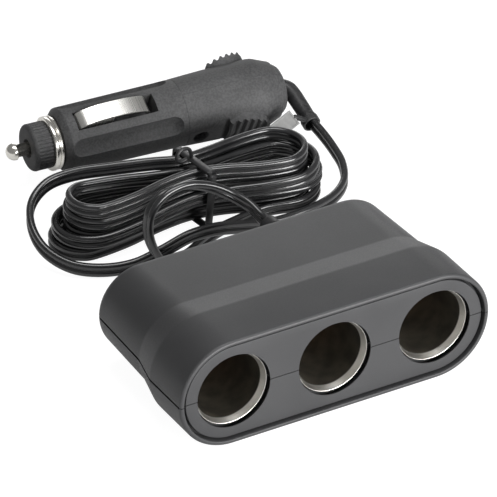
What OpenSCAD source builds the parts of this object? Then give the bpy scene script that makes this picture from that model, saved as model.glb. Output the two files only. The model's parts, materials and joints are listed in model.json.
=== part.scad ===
// Three-way car power socket splitter with its tied cord and plug.
// The housing stands on z = 0 with its sockets facing -Y. The plug lies behind it, its tip to the left.

/* [Housing] */
// Distance between neighbouring socket centres
socket_pitch = 33.5; // [32.5:0.5:38]
// Radius of the end rounds of the front section
front_r = 17.45; // [17:0.05:20]
// How far the centre of an end round lies outside the last socket's centre
end_shift = 0.7; // [0.2:0.1:3]
// Radius of the rear section where the flare starts
rear_r = 15; // [14.6:0.1:16.5]
// Radius of the rear section at its back edge
back_r = 14.1; // [13.8:0.1:14.6]
// Depth of the front section, from the rim to the flare
front_depth = 17.9; // [14:0.1:22]
// Depth of the flare
flare_depth = 10.6; // [7:0.1:14]
// Depth of the rear section behind the flare
rear_depth = 27.9; // [24:0.1:34]
// Wall of the shells
shell_wall = 2; // [1.6:0.1:2.2]
// Rounding of the back edge
back_round = 3.4; // [2.4:0.1:4]
// Rounding of the flare's edges
flare_round = 2.6; // [1:0.1:4]
// Rounding of the rim's outer edge
rim_round = 1; // [0.6:0.1:1.2]
// Width of the rim
rim_w = 1.5; // [1.4:0.05:1.8]
// Width of the groove between rim and panel
groove_w = 0.75; // [0.5:0.05:1]
// Depth of the groove below the panel
groove_depth = 1.5; // [1:0.1:2]
// How far the panel lies behind the rim
panel_recess = 0.9; // [0.5:0.1:1.5]
// Thickness of the panel
panel_t = 3.2; // [2.8:0.1:4]
// Gap of the seam between the shells
seam_gap = 0.14; // [0.1:0.02:0.3]

/* [Sockets] */
// Inner diameter of a socket sleeve
socket_bore = 21.3; // [21:0.1:21.8]
// Sheet thickness of a sleeve
sleeve_wall = 0.5; // [0.4:0.05:0.6]
// Length of a sleeve
sleeve_len = 38; // [34:0.5:40]
// Diameter of the panel hole round a sleeve
hole_d = 24; // [23.8:0.1:24.4]
// Diameter of the sleeve's rolled lip
lip_d = 23.4; // [23:0.1:23.5]
// How far the lip lies behind the panel's face
lip_recess = 0.5; // [0.2:0.1:1]
// Thickness of the insulating disc
disc_t = 2.4; // [2:0.1:3]
// Diameter of the centre contact's head
contact_d = 6; // [5:0.5:8]
// Height of the centre contact's head
contact_h = 1.2; // [0.8:0.1:1.8]

/* [Cord] */
// Width of the flat twin cord
cord_w = 4.4; // [4.2:0.1:4.8]
// Thickness of the flat twin cord
cord_t = 2.3; // [2:0.1:2.4]
// Length of the hank's straight runs
hank_len = 62; // [58:1:66]
// Width of the hank's outermost turn, centre to centre
hank_w = 24; // [23:0.5:26]
// Length of the strain relief outside the housing
relief_len = 17; // [14:0.5:20]

/* [Plug] */
// Diameter of the barrel at its front edge
barrel_d = 20.4; // [20:0.1:20.8]
// Diameter of the barrel where it meets the handle
barrel_rear_d = 21; // [20.4:0.1:21.4]
// Length of the barrel
barrel_len = 40; // [38:0.5:44]
// Length of the handle with its dome
handle_len = 35; // [32:0.5:40]
// Thickness of the handle
handle_d = 22.2; // [21.4:0.2:23]
// Width of the handle over its thumb pads
pad_span = 26.8; // [25:0.2:28]
// Diameter of the nose cap
cap_d = 14.8; // [14:0.1:15.4]
// Length of the nose cap
cap_len = 6; // [5.4:0.1:7]
// Number of ridges round the nose cap
cap_ridges = 40; // [24:2:48]
// Diameter of the stepped metal ring
ring_d = 17; // [16:0.1:18]
// Length of the stepped metal ring
ring_len = 3; // [2.4:0.1:3.4]
// Diameter of the pin's round head
ball_d = 5.4; // [5:0.1:6]
// Diameter of the pin's shank
pin_d = 4; // [3.6:0.1:4.4]
// How far the pin stands out of the nose cap
pin_out = 7; // [6.4:0.1:7.6]
// Pitch of the nose cap's thread
thread_pitch = 1; // [0.8:0.1:1.2]
// Width of a side contact leaf
leaf_w = 5.6; // [5:0.1:6]
// Sheet thickness of a side contact leaf
leaf_t = 0.5; // [0.4:0.05:0.6]
// Length of a side window
window_len = 26.4; // [24:0.2:27]
// Length of the glass fuse
fuse_len = 32; // [30:0.5:32]
// Diameter of the glass fuse
fuse_d = 6.35; // [5.2:0.05:6.4]

/* [Hidden] */
$fn = 96;
places = [-1, 0, 1];
plastic = [0.13, 0.13, 0.14];
cord_colour = [0.1, 0.1, 0.1];
nickel = [0.78, 0.77, 0.74];

// One overrun for every cut, and the usual clearances
over = 1;
slip = 0.05;
seat = 0.3;
touch = 0.02;

// Housing places: depth is measured from the rim towards the back
depth = front_depth + flare_depth + rear_depth;
front_y = -depth / 2;
back_y = depth / 2;
mid_z = front_r;
end_x = socket_pitch + end_shift;
panel_r = front_r - rim_w - groove_w;
flare_end = front_depth + flare_depth;
flare_slope = atan((front_r - rear_r) / flare_depth);
draft = atan((rear_r - back_r) / (rear_depth - back_round));
arc_steps = 5;

// Socket places
sleeve_r = socket_bore / 2 + sleeve_wall;
lip_len = lip_d / 2 - sleeve_r;
sleeve_front = panel_recess + lip_recess;
sleeve_back = sleeve_front + sleeve_len;
disc_back = sleeve_back - sleeve_wall - touch;
neck_step = 0.25;
disc_r = socket_bore / 2 - neck_step;
neck_at = disc_back - disc_t - contact_h - seat;
flange_hole_r = 6;
disc_boss_out = 0.8;
disc_boss_len = sleeve_wall + disc_boss_out;
rivet_r = 1.5;
rivet_head_r = 2.4;
strip_t = 0.8;
strip_w = 7;
strip_depth = sleeve_back + disc_boss_len - sleeve_wall;
earth_strip_w = 5;
earth_strip_ahead = 10.5;
earth_strip_depth = sleeve_back - earth_strip_ahead;
wire_hole_r = 1.6;
wire_hole_down = 8;
wire_hole_at = [socket_pitch / 2, wire_hole_down];

// Saddle ribs and screw bosses
rib_t = 1.8;
front_rib_behind = 3.4;
rear_rib_ahead = 4;
rib_depths = [panel_recess + panel_t + front_rib_behind, sleeve_back - rear_rib_ahead];
boss_r = 3.1;
screw_r = 1.2;
screw_hole_r = 1.5;
head_r = 2.5;
head_h = 1.5;
boss_room = 1.2;
boss_floor = 3;
screw_tip = 7;
boss_places = [[socket_pitch / 2, front_depth], [socket_pitch, depth - shell_wall - boss_r - boss_room]];

// Strain relief
relief_x = 19.8;
relief_hole_r = 3.3;
relief_rear_r = 3;
relief_front_r = 4.1;
relief_flange_r = 4.9;
relief_flange_t = 1.4;
relief_grooves = 4;
relief_groove_w = 1;
relief_groove_depth = 0.7;

// Arc points round a corner of an outline: centre, radius, first and last angle
function arc(c, r, a0, a1, n = arc_steps) =
  [for (i = [0:n]) c + r * [cos(a0 + (a1 - a0) * i / n), sin(a0 + (a1 - a0) * i / n)]];

// Outline of the shell's wall as [radius, depth], from the panel's centre round the outside and back
function wall_outline() = let (
    c_front = [front_r - flare_round, front_depth - flare_round * tan(flare_slope / 2)],
    c_rear = [rear_r + flare_round, flare_end + flare_round * tan(flare_slope / 2)],
    inner_front = panel_recess + panel_t
  ) concat(
    [[0, panel_recess], [panel_r, panel_recess], [panel_r, panel_recess + groove_depth]],
    [[front_r - rim_w, panel_recess + groove_depth], [front_r - rim_w, rim_round / 2]],
    [[front_r - rim_w + rim_round / 4, 0]],
    arc([front_r - rim_round, rim_round], rim_round, -90, 0),
    arc(c_front, flare_round, 0, flare_slope),
    arc(c_rear, flare_round, 180 + flare_slope, 180 + draft),
    arc([back_r - back_round, depth - back_round], back_round, draft, 90),
    [[0, depth], [0, depth - shell_wall]],
    [[back_r - back_round, depth - shell_wall], [back_r - shell_wall, depth - back_round]],
    [[rear_r - shell_wall, flare_end], [front_r - shell_wall, front_depth]],
    [[front_r - shell_wall, inner_front], [0, inner_front]]
  );

// Puts a shape that is drawn with its axis along Z, depth upwards, into the housing
module in_housing() {
  translate([0, front_y, mid_z]) rotate([-90, 0, 0]) children();
}

// Sweeps an outline of [radius, depth] round the upper half of the housing's stadium
module half_stadium(outline) {
  for (side = [0, 1])
    mirror([side, 0, 0]) translate([end_x, 0, 0]) rotate([0, 0, -90])
      rotate_extrude(angle = 90) polygon(outline);
  rotate([90, 0, 90]) translate([0, 0, -end_x])
    linear_extrude(height = 2 * end_x) polygon([for (p = outline) [-p[0], p[1]]]);
}

// Upper half of a stadium plate at a depth, with a radius
module half_plate(r, at, t) {
  half_stadium([[0, at], [r, at], [r, at + t], [0, at + t]]);
}

// Radius of the inner wall at a depth
function inner_r(at) =
  at < front_depth ? front_r - shell_wall
  : at < flare_end ? front_r - shell_wall - (front_r - rear_r) * (at - front_depth) / flare_depth
  : rear_r - shell_wall - (rear_r - back_r) * (at - flare_end) / rear_depth;

// Wall, ribs and bosses of one shell, drawn as the upper one, cut for the sleeves and the cord
module shell_body() {
  difference() {
    union() {
      half_stadium(wall_outline());
      for (at = rib_depths) half_plate(inner_r(at) + shell_wall / 4, at, rib_t);
      for (side = [-1, 1], b = boss_places)
        translate([side * b[0], 0, b[1]]) rotate([90, 0, 0])
          cylinder(r = boss_r, h = inner_r(b[1] + boss_r) + shell_wall / 4);
    }
    for (i = places) translate([i * socket_pitch, 0, 0]) {
      cylinder(r = hole_d / 2, h = panel_recess + panel_t + over);
      cylinder(r = sleeve_r + slip, h = sleeve_back + over);
    }
    translate([relief_x, 0, depth - shell_wall - over]) cylinder(r = relief_hole_r, h = shell_wall + 2 * over);
    translate([wire_hole_at[0], -wire_hole_at[1], rib_depths[1] - over])
      cylinder(r = wire_hole_r, h = rib_t + 2 * over);
    translate([-end_x - front_r, -seam_gap / 2, -over])
      cube([2 * (end_x + front_r), seam_gap, depth + 2 * over]);
  }
}

module upper_shell() {
  color(plastic) in_housing() difference() {
    shell_body();
    for (side = [-1, 1], b = boss_places)
      translate([side * b[0], over, b[1]]) rotate([90, 0, 0]) cylinder(r = screw_r, h = screw_tip + over);
  }
}

module lower_shell() {
  color(plastic) in_housing() mirror([0, 1, 0]) difference() {
    shell_body();
    for (side = [-1, 1], b = boss_places)
      translate([side * b[0], over, b[1]]) rotate([90, 0, 0]) {
        cylinder(r = screw_hole_r, h = front_r + 2 * over);
        translate([0, 0, boss_floor + over]) cylinder(r = head_r + slip, h = front_r + over);
      }
  }
}

module housing_screws() {
  color("silver") in_housing() for (side = [-1, 1], b = boss_places)
    translate([side * b[0], 0, b[1]]) rotate([-90, 0, 0]) difference() {
      union() {
        translate([0, 0, -screw_tip + seat])
          cylinder(r = screw_r - touch, h = screw_tip + boss_floor + head_h / 2 - seat);
        translate([0, 0, boss_floor + touch]) cylinder(r = head_r, h = head_h);
      }
      for (turn = [0, 90]) rotate([0, 0, turn])
        translate([-head_r / 2, -head_r / 10, boss_floor + head_h / 2])
          cube([head_r, head_r / 5, head_h]);
    }
}

module strain_relief() {
  outside = depth + touch;
  color(cord_colour) in_housing() translate([relief_x, 0, 0]) rotate_extrude() difference() {
    polygon([
      [0, depth - shell_wall - relief_flange_t], [relief_flange_r, depth - shell_wall - relief_flange_t],
      [relief_flange_r, depth - shell_wall - touch], [relief_hole_r - slip, depth - shell_wall - touch],
      [relief_hole_r - slip, outside], [relief_flange_r, outside],
      [relief_flange_r, outside + relief_flange_t], [relief_front_r, outside + 2 * relief_flange_t],
      [relief_rear_r, depth + relief_len], [0, depth + relief_len]
    ]);
    for (i = [1:relief_grooves])
      translate([relief_rear_r - relief_groove_depth / 2,
                 depth + relief_len * (i + 1) / (relief_grooves + 3)])
        square([relief_front_r, relief_groove_w]);
  }
}

module socket_sleeve(i) {
  r = socket_bore / 2;
  color(nickel) in_housing() translate([i * socket_pitch, 0, 0]) rotate_extrude() polygon([
    [r, sleeve_front + lip_len + sleeve_wall], [lip_d / 2 - sleeve_wall, sleeve_front],
    [lip_d / 2, sleeve_front], [lip_d / 2, sleeve_front + sleeve_wall],
    [sleeve_r, sleeve_front + lip_len + 2 * sleeve_wall], [sleeve_r, sleeve_back],
    [flange_hole_r, sleeve_back], [flange_hole_r, sleeve_back - sleeve_wall],
    [disc_r, sleeve_back - sleeve_wall], [disc_r, neck_at], [r, neck_at]
  ]);
}

module insulator(i) {
  color([0.45, 0.3, 0.18]) in_housing() translate([i * socket_pitch, 0, 0]) difference() {
    union() {
      translate([0, 0, disc_back - disc_t]) cylinder(r = disc_r - slip, h = disc_t);
      translate([0, 0, disc_back - touch]) cylinder(r = flange_hole_r - slip, h = disc_boss_len);
    }
    cylinder(r = rivet_r + slip, h = depth);
  }
}

module centre_contact(i) {
  face = disc_back - disc_t;
  head_sphere_r = (contact_d * contact_d / 4 + contact_h * contact_h) / (2 * contact_h);
  color([0.8, 0.66, 0.36]) in_housing() translate([i * socket_pitch, 0, 0]) {
    intersection() {
      translate([0, 0, face - touch - contact_h + head_sphere_r]) sphere(r = head_sphere_r);
      translate([0, 0, face - touch - contact_h]) cylinder(r = contact_d / 2, h = contact_h);
    }
    translate([0, 0, face - touch - contact_h / 2])
      cylinder(r = rivet_r, h = strip_depth + 1.5 * strip_t + contact_h / 2 - face);
    translate([0, 0, strip_depth + strip_t + touch]) cylinder(r = rivet_head_r, h = strip_t);
  }
}

module positive_strip() {
  color([0.8, 0.66, 0.36]) in_housing() difference() {
    translate([-socket_pitch - strip_w / 2, -strip_w / 2, strip_depth])
      cube([2 * socket_pitch + strip_w, strip_w, strip_t]);
    for (i = places) translate([i * socket_pitch, 0, strip_depth - over])
      cylinder(r = rivet_r + slip, h = strip_t + 2 * over);
  }
}

// Lies under the three sleeves, along their lowest lines
module negative_strip() {
  color(nickel) in_housing() translate([-socket_pitch - earth_strip_w / 2, sleeve_r + touch, earth_strip_depth])
    cube([2 * socket_pitch + earth_strip_w, strip_t, earth_strip_w]);
}

// A smooth line through points, each a list of numbers of any length
function smooth(p, n) = let (last = len(p) - 1) concat(
  [for (i = [0:last - 1], k = [0:n - 1]) let (
    t = k / n, a = p[max(i - 1, 0)], b = p[i], c = p[i + 1], d = p[min(i + 2, last)]
  ) 0.5 * (2 * b + (c - a) * t + (2 * a - 5 * b + 4 * c - d) * t * t + (3 * b - a - 3 * c + d) * t * t * t)],
  [p[last]]);

function unit(v) = v / norm(v);
function place(p) = [p[0], p[1], p[2]];
function width_way(p) = [p[3], p[4], p[5]];
function heading(path, i) = let (last = len(path) - 1)
  unit(place(path[min(i + 1, last)]) - place(path[max(i - 1, 0)]));

// Tube along rings of [x, y, z, width direction], with a section given in its own width and thickness
module tube(path, section, start_way, end_way, end_share = 1) {
  n = len(section);
  last = len(path) - 1;
  rings = [for (i = [0:last]) let (
      way = i == 0 && start_way ? start_way : i == last && end_way ? end_way : heading(path, i),
      side = unit(cross(way, width_way(path[i]))), wide = cross(side, way),
      share = 1 + (end_share - 1) * i / last
    ) for (s = section) place(path[i]) + share * (s[0] * wide + s[1] * side)];
  polyhedron(points = rings, faces = concat(
    [[for (k = [0:n - 1]) k]],
    [for (i = [0:last - 1], k = [0:n - 1]) [i * n + k, (i + 1) * n + k, i * n + (k + 1) % n]],
    [for (i = [0:last - 1], k = [0:n - 1]) [i * n + (k + 1) % n, (i + 1) * n + k, (i + 1) * n + (k + 1) % n]],
    [[for (k = [0:n - 1]) last * n + n - 1 - k]]
  ));
}

// Sections of the flat cord and of a single wire, as shares of width and thickness
corner_share = 0.3;
six_shares = [[0.5, 0], [corner_share, 0.5], [-corner_share, 0.5], [-0.5, 0],
  [-corner_share, -0.5], [corner_share, -0.5]];
eight_shares = [[0.5, 0.2], [0.32, 0.5], [-0.32, 0.5], [-0.5, 0.2], [-0.5, -0.2], [-0.32, -0.5],
  [0.32, -0.5], [0.5, -0.2]];
six_sides = [for (s = six_shares) [s[0] * cord_w, s[1] * cord_t]];
eight_sides = [for (s = eight_shares) [s[0] * cord_w, s[1] * cord_t]];
wire_r = 0.9;
wire_sides = [for (a = [0:60:300]) wire_r * [cos(a), sin(a)]];

// Plug: its own frame has X along its axis from the tip, and Z through the side contacts
plug_at = [-24.8, 126.5, 12.4];
plug_yaw = -5;
plug_roll = 29;
boot_end = [68.5, 104.3, 8];
boot_way = [-0.06, -0.96, -0.28];

// Hank: its own frame lies at its middle, X along its runs
hank_at = [14, 85, 0];
hank_yaw = -3.5;
hank_gap = 0.5;
hank_side_gap = 1.2;
hank_turns = 5.5;
turns_per_layer = 1.5;
waist_in = 5;
waist_lift = 1.1;
waist_layer_lean = -0.12;
first_ring = 2;
rings_per_turn = 24;
run_rings = 3;
bend_rings = 6;
half_run = hank_len / 2;
layer_pitch = cord_w + hank_gap;
turn_pitch = cord_t + hank_side_gap;
// How much further than the others each layer reaches, at its left and its right end
reach_left = [3, 0.5, -1.5, 0];
reach_right = [1, 3.5, 0, -2];

// A value that goes from one layer's to the next over the half turn round the change
function by_layer(v, u) = let (
    k = floor(u / turns_per_layer + 0.5), t = (u - k * turns_per_layer) / 0.5 + 0.5,
    f = t < 0 ? 0 : t > 1 ? 1 : t * t * (3 - 2 * t), top = len(v) - 1
  ) k <= 0 ? v[0] : v[min(k - 1, top)] + (v[min(k, top)] - v[min(k - 1, top)]) * f;
layer_heights = [for (k = [0:3]) cord_w / 2 + k * layer_pitch];

// Half the width of a turn: it shrinks in one layer and grows back in the next
function turn_r(u) = let (q = u / turns_per_layer, k = floor(q), f = (q - k) * turns_per_layer)
  hank_w / 2 - turn_pitch * (k % 2 == 0 ? f : turns_per_layer - f);

// A ring of the hank by its count, in the hank's own frame
function hank_ring(i) = let (
    u = i / rings_per_turn, j = i % rings_per_turn, r = turn_r(u), half = rings_per_turn / 2,
    far = j < half ? 1 : -1, m = j % half, side = far,
    bend = min(max(m - run_rings, 0), bend_rings) * 180 / bend_rings,
    run = m <= run_rings ? m / run_rings : m >= run_rings + bend_rings ? (half - m) / run_rings : 1,
    reach = half_run + (far > 0 ? by_layer(reach_right, u) : by_layer(reach_left, u)),
    waist = run < 1 ? pow(cos(90 * run), 2) : 0,
    z = by_layer(layer_heights, u) + waist_lift * waist
  ) [
    far * (run * reach + (bend > 0 && bend < 180 ? r * sin(bend) : 0)),
    -side * (bend > 0 && bend < 180 ? r * cos(bend) : m <= run_rings ? r - waist_in * waist : waist_in * waist - r)
      + waist_layer_lean * (z - cord_w / 2),
    z
  ];

function to_world(p) = hank_at + [
  p[0] * cos(hank_yaw) - p[1] * sin(hank_yaw), p[0] * sin(hank_yaw) + p[1] * cos(hank_yaw), p[2]];
last_ring = hank_turns * rings_per_turn;
hank_path = [for (i = [first_ring:last_ring]) concat(to_world(hank_ring(i)), [0, 0, 1])];
hank_way = [cos(hank_yaw), sin(hank_yaw), 0];

// Least gap of the hank to itself: each ring's centre against every other turn's lengths of tube.
// Two like hexagons that stand on edge lie apart by their sides or by their slanted edges.
slant = unit([(0.5 - corner_share) * cord_w, cord_t / 2]);
function gap_to(p, a, b) = let (
    d = b - a, t = min(max((p - a) * d / (d * d), 0), 1), v = p - a - t * d, aside = norm([v[0], v[1]])
  ) max(aside - cord_t, slant[0] * aside + slant[1] * (abs(v[2]) - cord_w), abs(v[2]) - cord_w);
module print_hank_gap() {
  far_rings = 12;
  n = len(hank_path);
  gaps = [for (i = [0:n - 1], j = [0:n - 2]) if (abs(i - j) > far_rings)
    gap_to(place(hank_path[i]), place(hank_path[j]), place(hank_path[j + 1]))];
  echo(least_hank_gap = min(gaps));
}
function path_len(p) = len(p) < 2 ? 0 : [for (i = 0, s = 0; i < len(p); s = s + (i < len(p) - 1 ?
  norm(place(p[i + 1]) - place(p[i])) : 0), i = i + 1) s][len(p) - 1];

// The cord from the strain relief over the arch to the hank: place and width direction
arch_points = concat(
  [[relief_x, back_y + relief_len, mid_z, 0, 0, -1]],
  [
    [19.6, 49, 17.9, 0, 0, -1], [18.2, 54, 19.8, 0.1, 0.2, -1], [14, 58, 22.8, 0, 0.4, -0.9],
    [8, 60, 26.2, 0, 0.6, -0.8], [1, 60.6, 28.6, 0, 0.8, -0.6], [-6, 60.6, 28, 0, 0.9, -0.4],
    [-11, 60.4, 24.4, 0, 1, -0.1], [-12.8, 60, 18.6, 0, 1, 0], [-12, 59.2, 12.4, -0.1, 1, 0.1],
    [-9, 58.8, 7, -0.2, 0.9, 0.3], [-4, 59.8, 3.8, -0.2, 0.5, 0.7], [2, 62.4, 2.6, 0, 0.2, 1],
    [9, 66.6, 2.3, 0, 0, 1],
    [17, 70.2, 2.3, 0, 0, 1], [25.4, 72, 2.3, 0, 0, 1]
  ],
  [hank_path[0]]
);

// The cord from the hank round its left end, along the floor in front of it and back to the plug
lead_points = concat(
  [hank_path[len(hank_path) - 1]],
  [for (p = [
    [-9, 6, 18], [-20.6, 9.4, 17.6], [-31, 12.6, 16.8], [-39.6, 13.4, 15], [-46.6, 9.4, 12],
    [-50, 1.8, 8.8], [-49.4, -6.4, 5.4], [-44.6, -14.4, 3.2], [-36.4, -19.2, 2.4], [-27, -21.6, 3],
    [-18, -22.6, 6], [-9.6, -22.6, 8.6], [-1, -22, 8.4], [8, -21, 6.2], [17, -19.6, 3.4],
    [26, -18.4, 2.4], [35, -16.8, 2.4], [43.4, -13.4, 2.4], [50, -7.4, 2.6], [53.6, 0.6, 3.4]
  ]) concat(to_world(p), [0, 0, 1])],
  [[68.8, 89.6, 4.6, 0, 0, 1], [69, 96.6, 6.2, 0, 0, 1], [boot_end[0], boot_end[1], boot_end[2], 0, 0, 1]]
);

module cord_arch() {
  path = smooth(arch_points, 2);
  echo(arch_len = path_len(path));
  color(cord_colour) tube(path, eight_sides, [0, 1, 0], hank_way);
}

module cord_hank() {
  print_hank_gap();
  echo(hank_cord_len = path_len(hank_path));
  color(cord_colour) tube(hank_path, six_sides, hank_way, -hank_way);
}

module cord_lead() {
  path = smooth(lead_points, 2);
  echo(lead_len = path_len(path));
  color(cord_colour) tube(path, eight_sides, -hank_way, -unit(boot_way));
}

// Band round the waist of the hank, turned a little, with the twisted ends of the wire above it
tie_w = 2.7;
tie_t = 0.6;
tie_gap = 0.5;
tie_room = 0.7;
tie_x = 1.6;
tie_yaw = 10;
tie_end_r = 0.65;
module hank_tie() {
  half = hank_w / 2 - waist_in + cord_t / 2 + tie_gap + tie_room;
  top = 4 * layer_pitch - hank_gap + waist_lift + tie_gap;
  shift = waist_layer_lean * top;
  base = waist_lift - tie_gap;
  inner = [[-half, base], [half, base], [half + shift, top], [-half + shift, top]];
  color(cord_colour) translate(to_world([tie_x, 0, 0])) rotate([0, 0, hank_yaw + tie_yaw]) {
    rotate([90, 0, 90]) translate([0, 0, -tie_w / 2]) linear_extrude(height = tie_w) difference() {
      polygon([for (p = inner) p + [sign(p[0]) * tie_t, p[1] > base ? tie_t : -tie_t]]);
      polygon(inner);
    }
    tube(smooth(knot_points(shift + half / 5, top + tie_t - touch), 3), knot_sides, [0, 0, 1], false);
  }
}
// The wire's two ends stand up as one small open ring that leans to the left
function knot_points(y, z) = [for (p = [
    [0, 0, 0], [-0.3, 0, 1.6], [-1.3, 0.1, 3.2], [-3.2, 0, 4], [-5, -0.3, 3.2], [-5.4, -0.7, 1.8],
    [-4.3, -1, 0.8], [-2.5, -1, 0.9]
  ]) [p[0], y + p[1], z + p[2], 0, 1, 0.2]];
knot_sides = [for (a = [0:60:300]) tie_end_r * [cos(a), sin(a)]];

// Flat tag on a collar round the cord, just outside the boot
tag_len = 10.6;
tag_h = 4.4;
tag_t = 1.6;
tag_cut = 2.2;
tag_collar_r = 3.7;
tag_collar_bore_r = 2.65;
tag_collar_len = 2.4;
tag_arm_r = 0.8;
tag_tilt = [52, -32, -7];
tag_right = [61.9, 101.6, 10.9];
module cord_tag() {
  collar = boot_end + (touch + tag_collar_len / 2) * unit(boot_way);
  arm = collar - tag_right;
  color([0.72, 0.72, 0.7]) {
    translate(tag_right) rotate(tag_tilt) translate([-tag_len, -tag_h / 2, -tag_t / 2])
      linear_extrude(height = tag_t) polygon([[0, 0], [tag_len, 0], [tag_len, tag_h], [tag_cut, tag_h], [0, tag_h - tag_cut]]);
    translate(tag_right - tag_arm_r * unit(arm)) look_along(arm)
      cylinder(r = tag_arm_r, h = norm(arm) - (tag_collar_r + tag_collar_bore_r) / 2 + tag_arm_r);
    translate(boot_end) look_along(boot_way) translate([0, 0, touch]) difference() {
      cylinder(r = tag_collar_r, h = tag_collar_len);
      translate([0, 0, -over]) cylinder(r = tag_collar_bore_r, h = tag_collar_len + 2 * over);
    }
  }
}
// Turns +Z to a direction
module look_along(v) {
  rotate([0, acos(v[2] / norm(v)), atan2(v[1], v[0])]) children();
}

// Plug places along its axis, from the tip
cap_front = pin_out;
cap_back = cap_front + cap_len;
ring_front = cap_back + slip;
ring_back = ring_front + ring_len;
barrel_front = ring_back + seat;
barrel_back = barrel_front + barrel_len;
handle_back = barrel_back + handle_len;
head_rim = 0.3;
pin_flange_t = 1.3;
pin_flange_d = 6.6;
cap_wall = 1;
pin_flange_at = cap_front + cap_wall + slip;
chamber_room = 0.2;
chamber_d = pin_flange_d + chamber_room;
fuse_front = pin_flange_at + pin_flange_t + slip;
fuse_back = fuse_front + fuse_len;
collar_front = pin_flange_at + pin_flange_t + seat;
thread_d = 11.2;
thread_depth = 0.35;
collar_flange_d = 13.6;
collar_flange_t = 1.2;
collar_lip = 1.2;
collar_sink = 1.8;
collar_flange_at = barrel_front + collar_sink;
collar_back = collar_flange_at + collar_flange_t + collar_lip;
thread_room = 1;
fuse_room = 0.65;
fuse_bore_d = fuse_d + fuse_room;
spring_len = 9;
spring_back = fuse_back + slip + spring_len;
seat_t = 0.8;
seat_d = 8.4;
window_start = 4.6;
window_front = barrel_front + window_start;
window_back = window_front + window_len;
window_room = 0.8;
window_w = leaf_w + window_room;
window_floor = 5;
barrel_chamfer = 1.7;
cavity_r = 8;
cavity_wall = 1;
cavity_front = barrel_back + cavity_wall;
cavity_end_wall = 7;
cavity_back = handle_back - cavity_end_wall;
boot_hole_r = 3;
boot_flange_r = 4.5;
boot_flange_t = 2;
boot_flange_sink = 4.4;
boot_flange_at = handle_back - boot_flange_sink;
cord_hole_r = 2.4;
flute_r = 3.8;
flute_depth = 1.7;
flute_angles = [50, 130, 230, 310];
flute_end = 1.2;
flute_front = barrel_front + flute_end;
flute_back = barrel_back - flute_end;
screw_behind = 4.6;
screw_at = barrel_back + screw_behind;
plug_screw_r = 1.3;
plug_screw_head_r = 2.3;
plug_screw_head_h = 1.5;
plug_screw_low = -6.4;
plug_screw_tip = 6;
plug_boss_r = 3.8;

module in_plug() {
  translate(plug_at) rotate([plug_roll, 0, plug_yaw]) children();
}
// Turns a shape drawn along Z into the plug's own X direction
module along() {
  rotate([0, 90, 0]) children();
}

// Handle's outline as shares of its length and of its radius
handle_shares = [[0.5, 1], [0.76, 1], [0.83, 0.96], [0.91, 0.84], [0.935, 0.78], [0.965, 0.7], [0.994, 0.5], [1, 0.4]];
joint_step = 0.1;
seat_lip = 1;

// Outline of a half shell's wall as [radius, place along the axis]
function plug_outline() = let (
    r0 = barrel_d / 2, r1 = barrel_rear_d / 2, bore = thread_d / 2 + slip, neck = seat_d / 2 - seat_lip,
    pocket = seat_d / 2 + slip, ring = collar_flange_d / 2 + slip, seat_end = spring_back + seat_t + 2 * slip,
    collar_end = collar_flange_at + collar_flange_t + slip, flange_end = boot_flange_at + boot_flange_t
  ) concat(
    [[bore, barrel_front], [r0 - barrel_chamfer, barrel_front], [r0, barrel_front + barrel_chamfer]],
    [[r1, barrel_back], [r1 + joint_step, barrel_back]],
    [for (s = handle_shares) [s[1] * handle_d / 2, barrel_back + s[0] * handle_len]],
    [[boot_hole_r, handle_back], [boot_hole_r, flange_end], [boot_flange_r, flange_end]],
    [[boot_flange_r, boot_flange_at], [cord_hole_r, boot_flange_at], [cord_hole_r, cavity_back]],
    [[cavity_r, cavity_back], [cavity_r, cavity_front], [neck, cavity_front], [neck, seat_end]],
    [[pocket, seat_end], [pocket, spring_back], [fuse_bore_d / 2, spring_back], [fuse_bore_d / 2, collar_back + slip]],
    [[bore, collar_back + slip], [bore, collar_end], [ring, collar_end]],
    [[ring, collar_flange_at - slip], [bore, collar_flange_at - slip]]
  );

// Thumb pad: its outline along the axis and outwards, with teeth that rise towards the back
pad_behind = 13.4;
pad_len = 13;
pad_front = barrel_back + pad_behind;
pad_back = pad_front + pad_len;
pad_w = 12;
pad_teeth = 6;
pad_tooth = 0.8;
pad_low = 9;
pad_sink = 0.7;
tooth_shares = [0, 0.25, 0.6, 0.8];
function pad_outline() = let (low = handle_d / 2 - pad_sink, rise = pad_span / 2 - pad_tooth - low) concat(
  [[pad_front, pad_low]],
  [for (i = [0:pad_teeth - 1], k = [0:3]) let (at = (i + tooth_shares[k]) / pad_teeth)
    [pad_front + pad_len * at, low + rise * at + (k == 1 || k == 2 ? pad_tooth : 0)]],
  [[pad_back, low + rise], [pad_back, pad_low]]
);

// Half shell of the plug on the +Y side of its own frame, without its screw holes
module plug_half() {
  difference() {
    union() {
      along() rotate_extrude(angle = 180) polygon(plug_outline());
      translate([0, 0, -pad_w / 2]) linear_extrude(height = pad_w) polygon(pad_outline());
      intersection() {
        translate([screw_at, 0, 0]) rotate([-90, 0, 0]) cylinder(r = plug_boss_r, h = cavity_r + touch);
        along() cylinder(r = cavity_r + cavity_wall, h = handle_back);
      }
    }
    for (side = [0, 1]) mirror([0, 0, side]) translate([window_front, -over, window_floor])
      cube([window_len, window_w / 2 + over, barrel_d]);
    for (a = flute_angles) rotate([a, 0, 0])
      translate([0, 0, barrel_d / 2 + flute_r - flute_depth]) {
        translate([flute_front + flute_r, 0, 0]) along()
          cylinder(r = flute_r, h = flute_back - flute_front - 2 * flute_r);
        for (at = [flute_front + flute_r, flute_back - flute_r]) translate([at, 0, 0]) sphere(r = flute_r);
      }
    translate([0, -2 * handle_d + touch / 2, -handle_d]) cube([handle_back + over, 2 * handle_d, 2 * handle_d]);
  }
}

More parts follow.
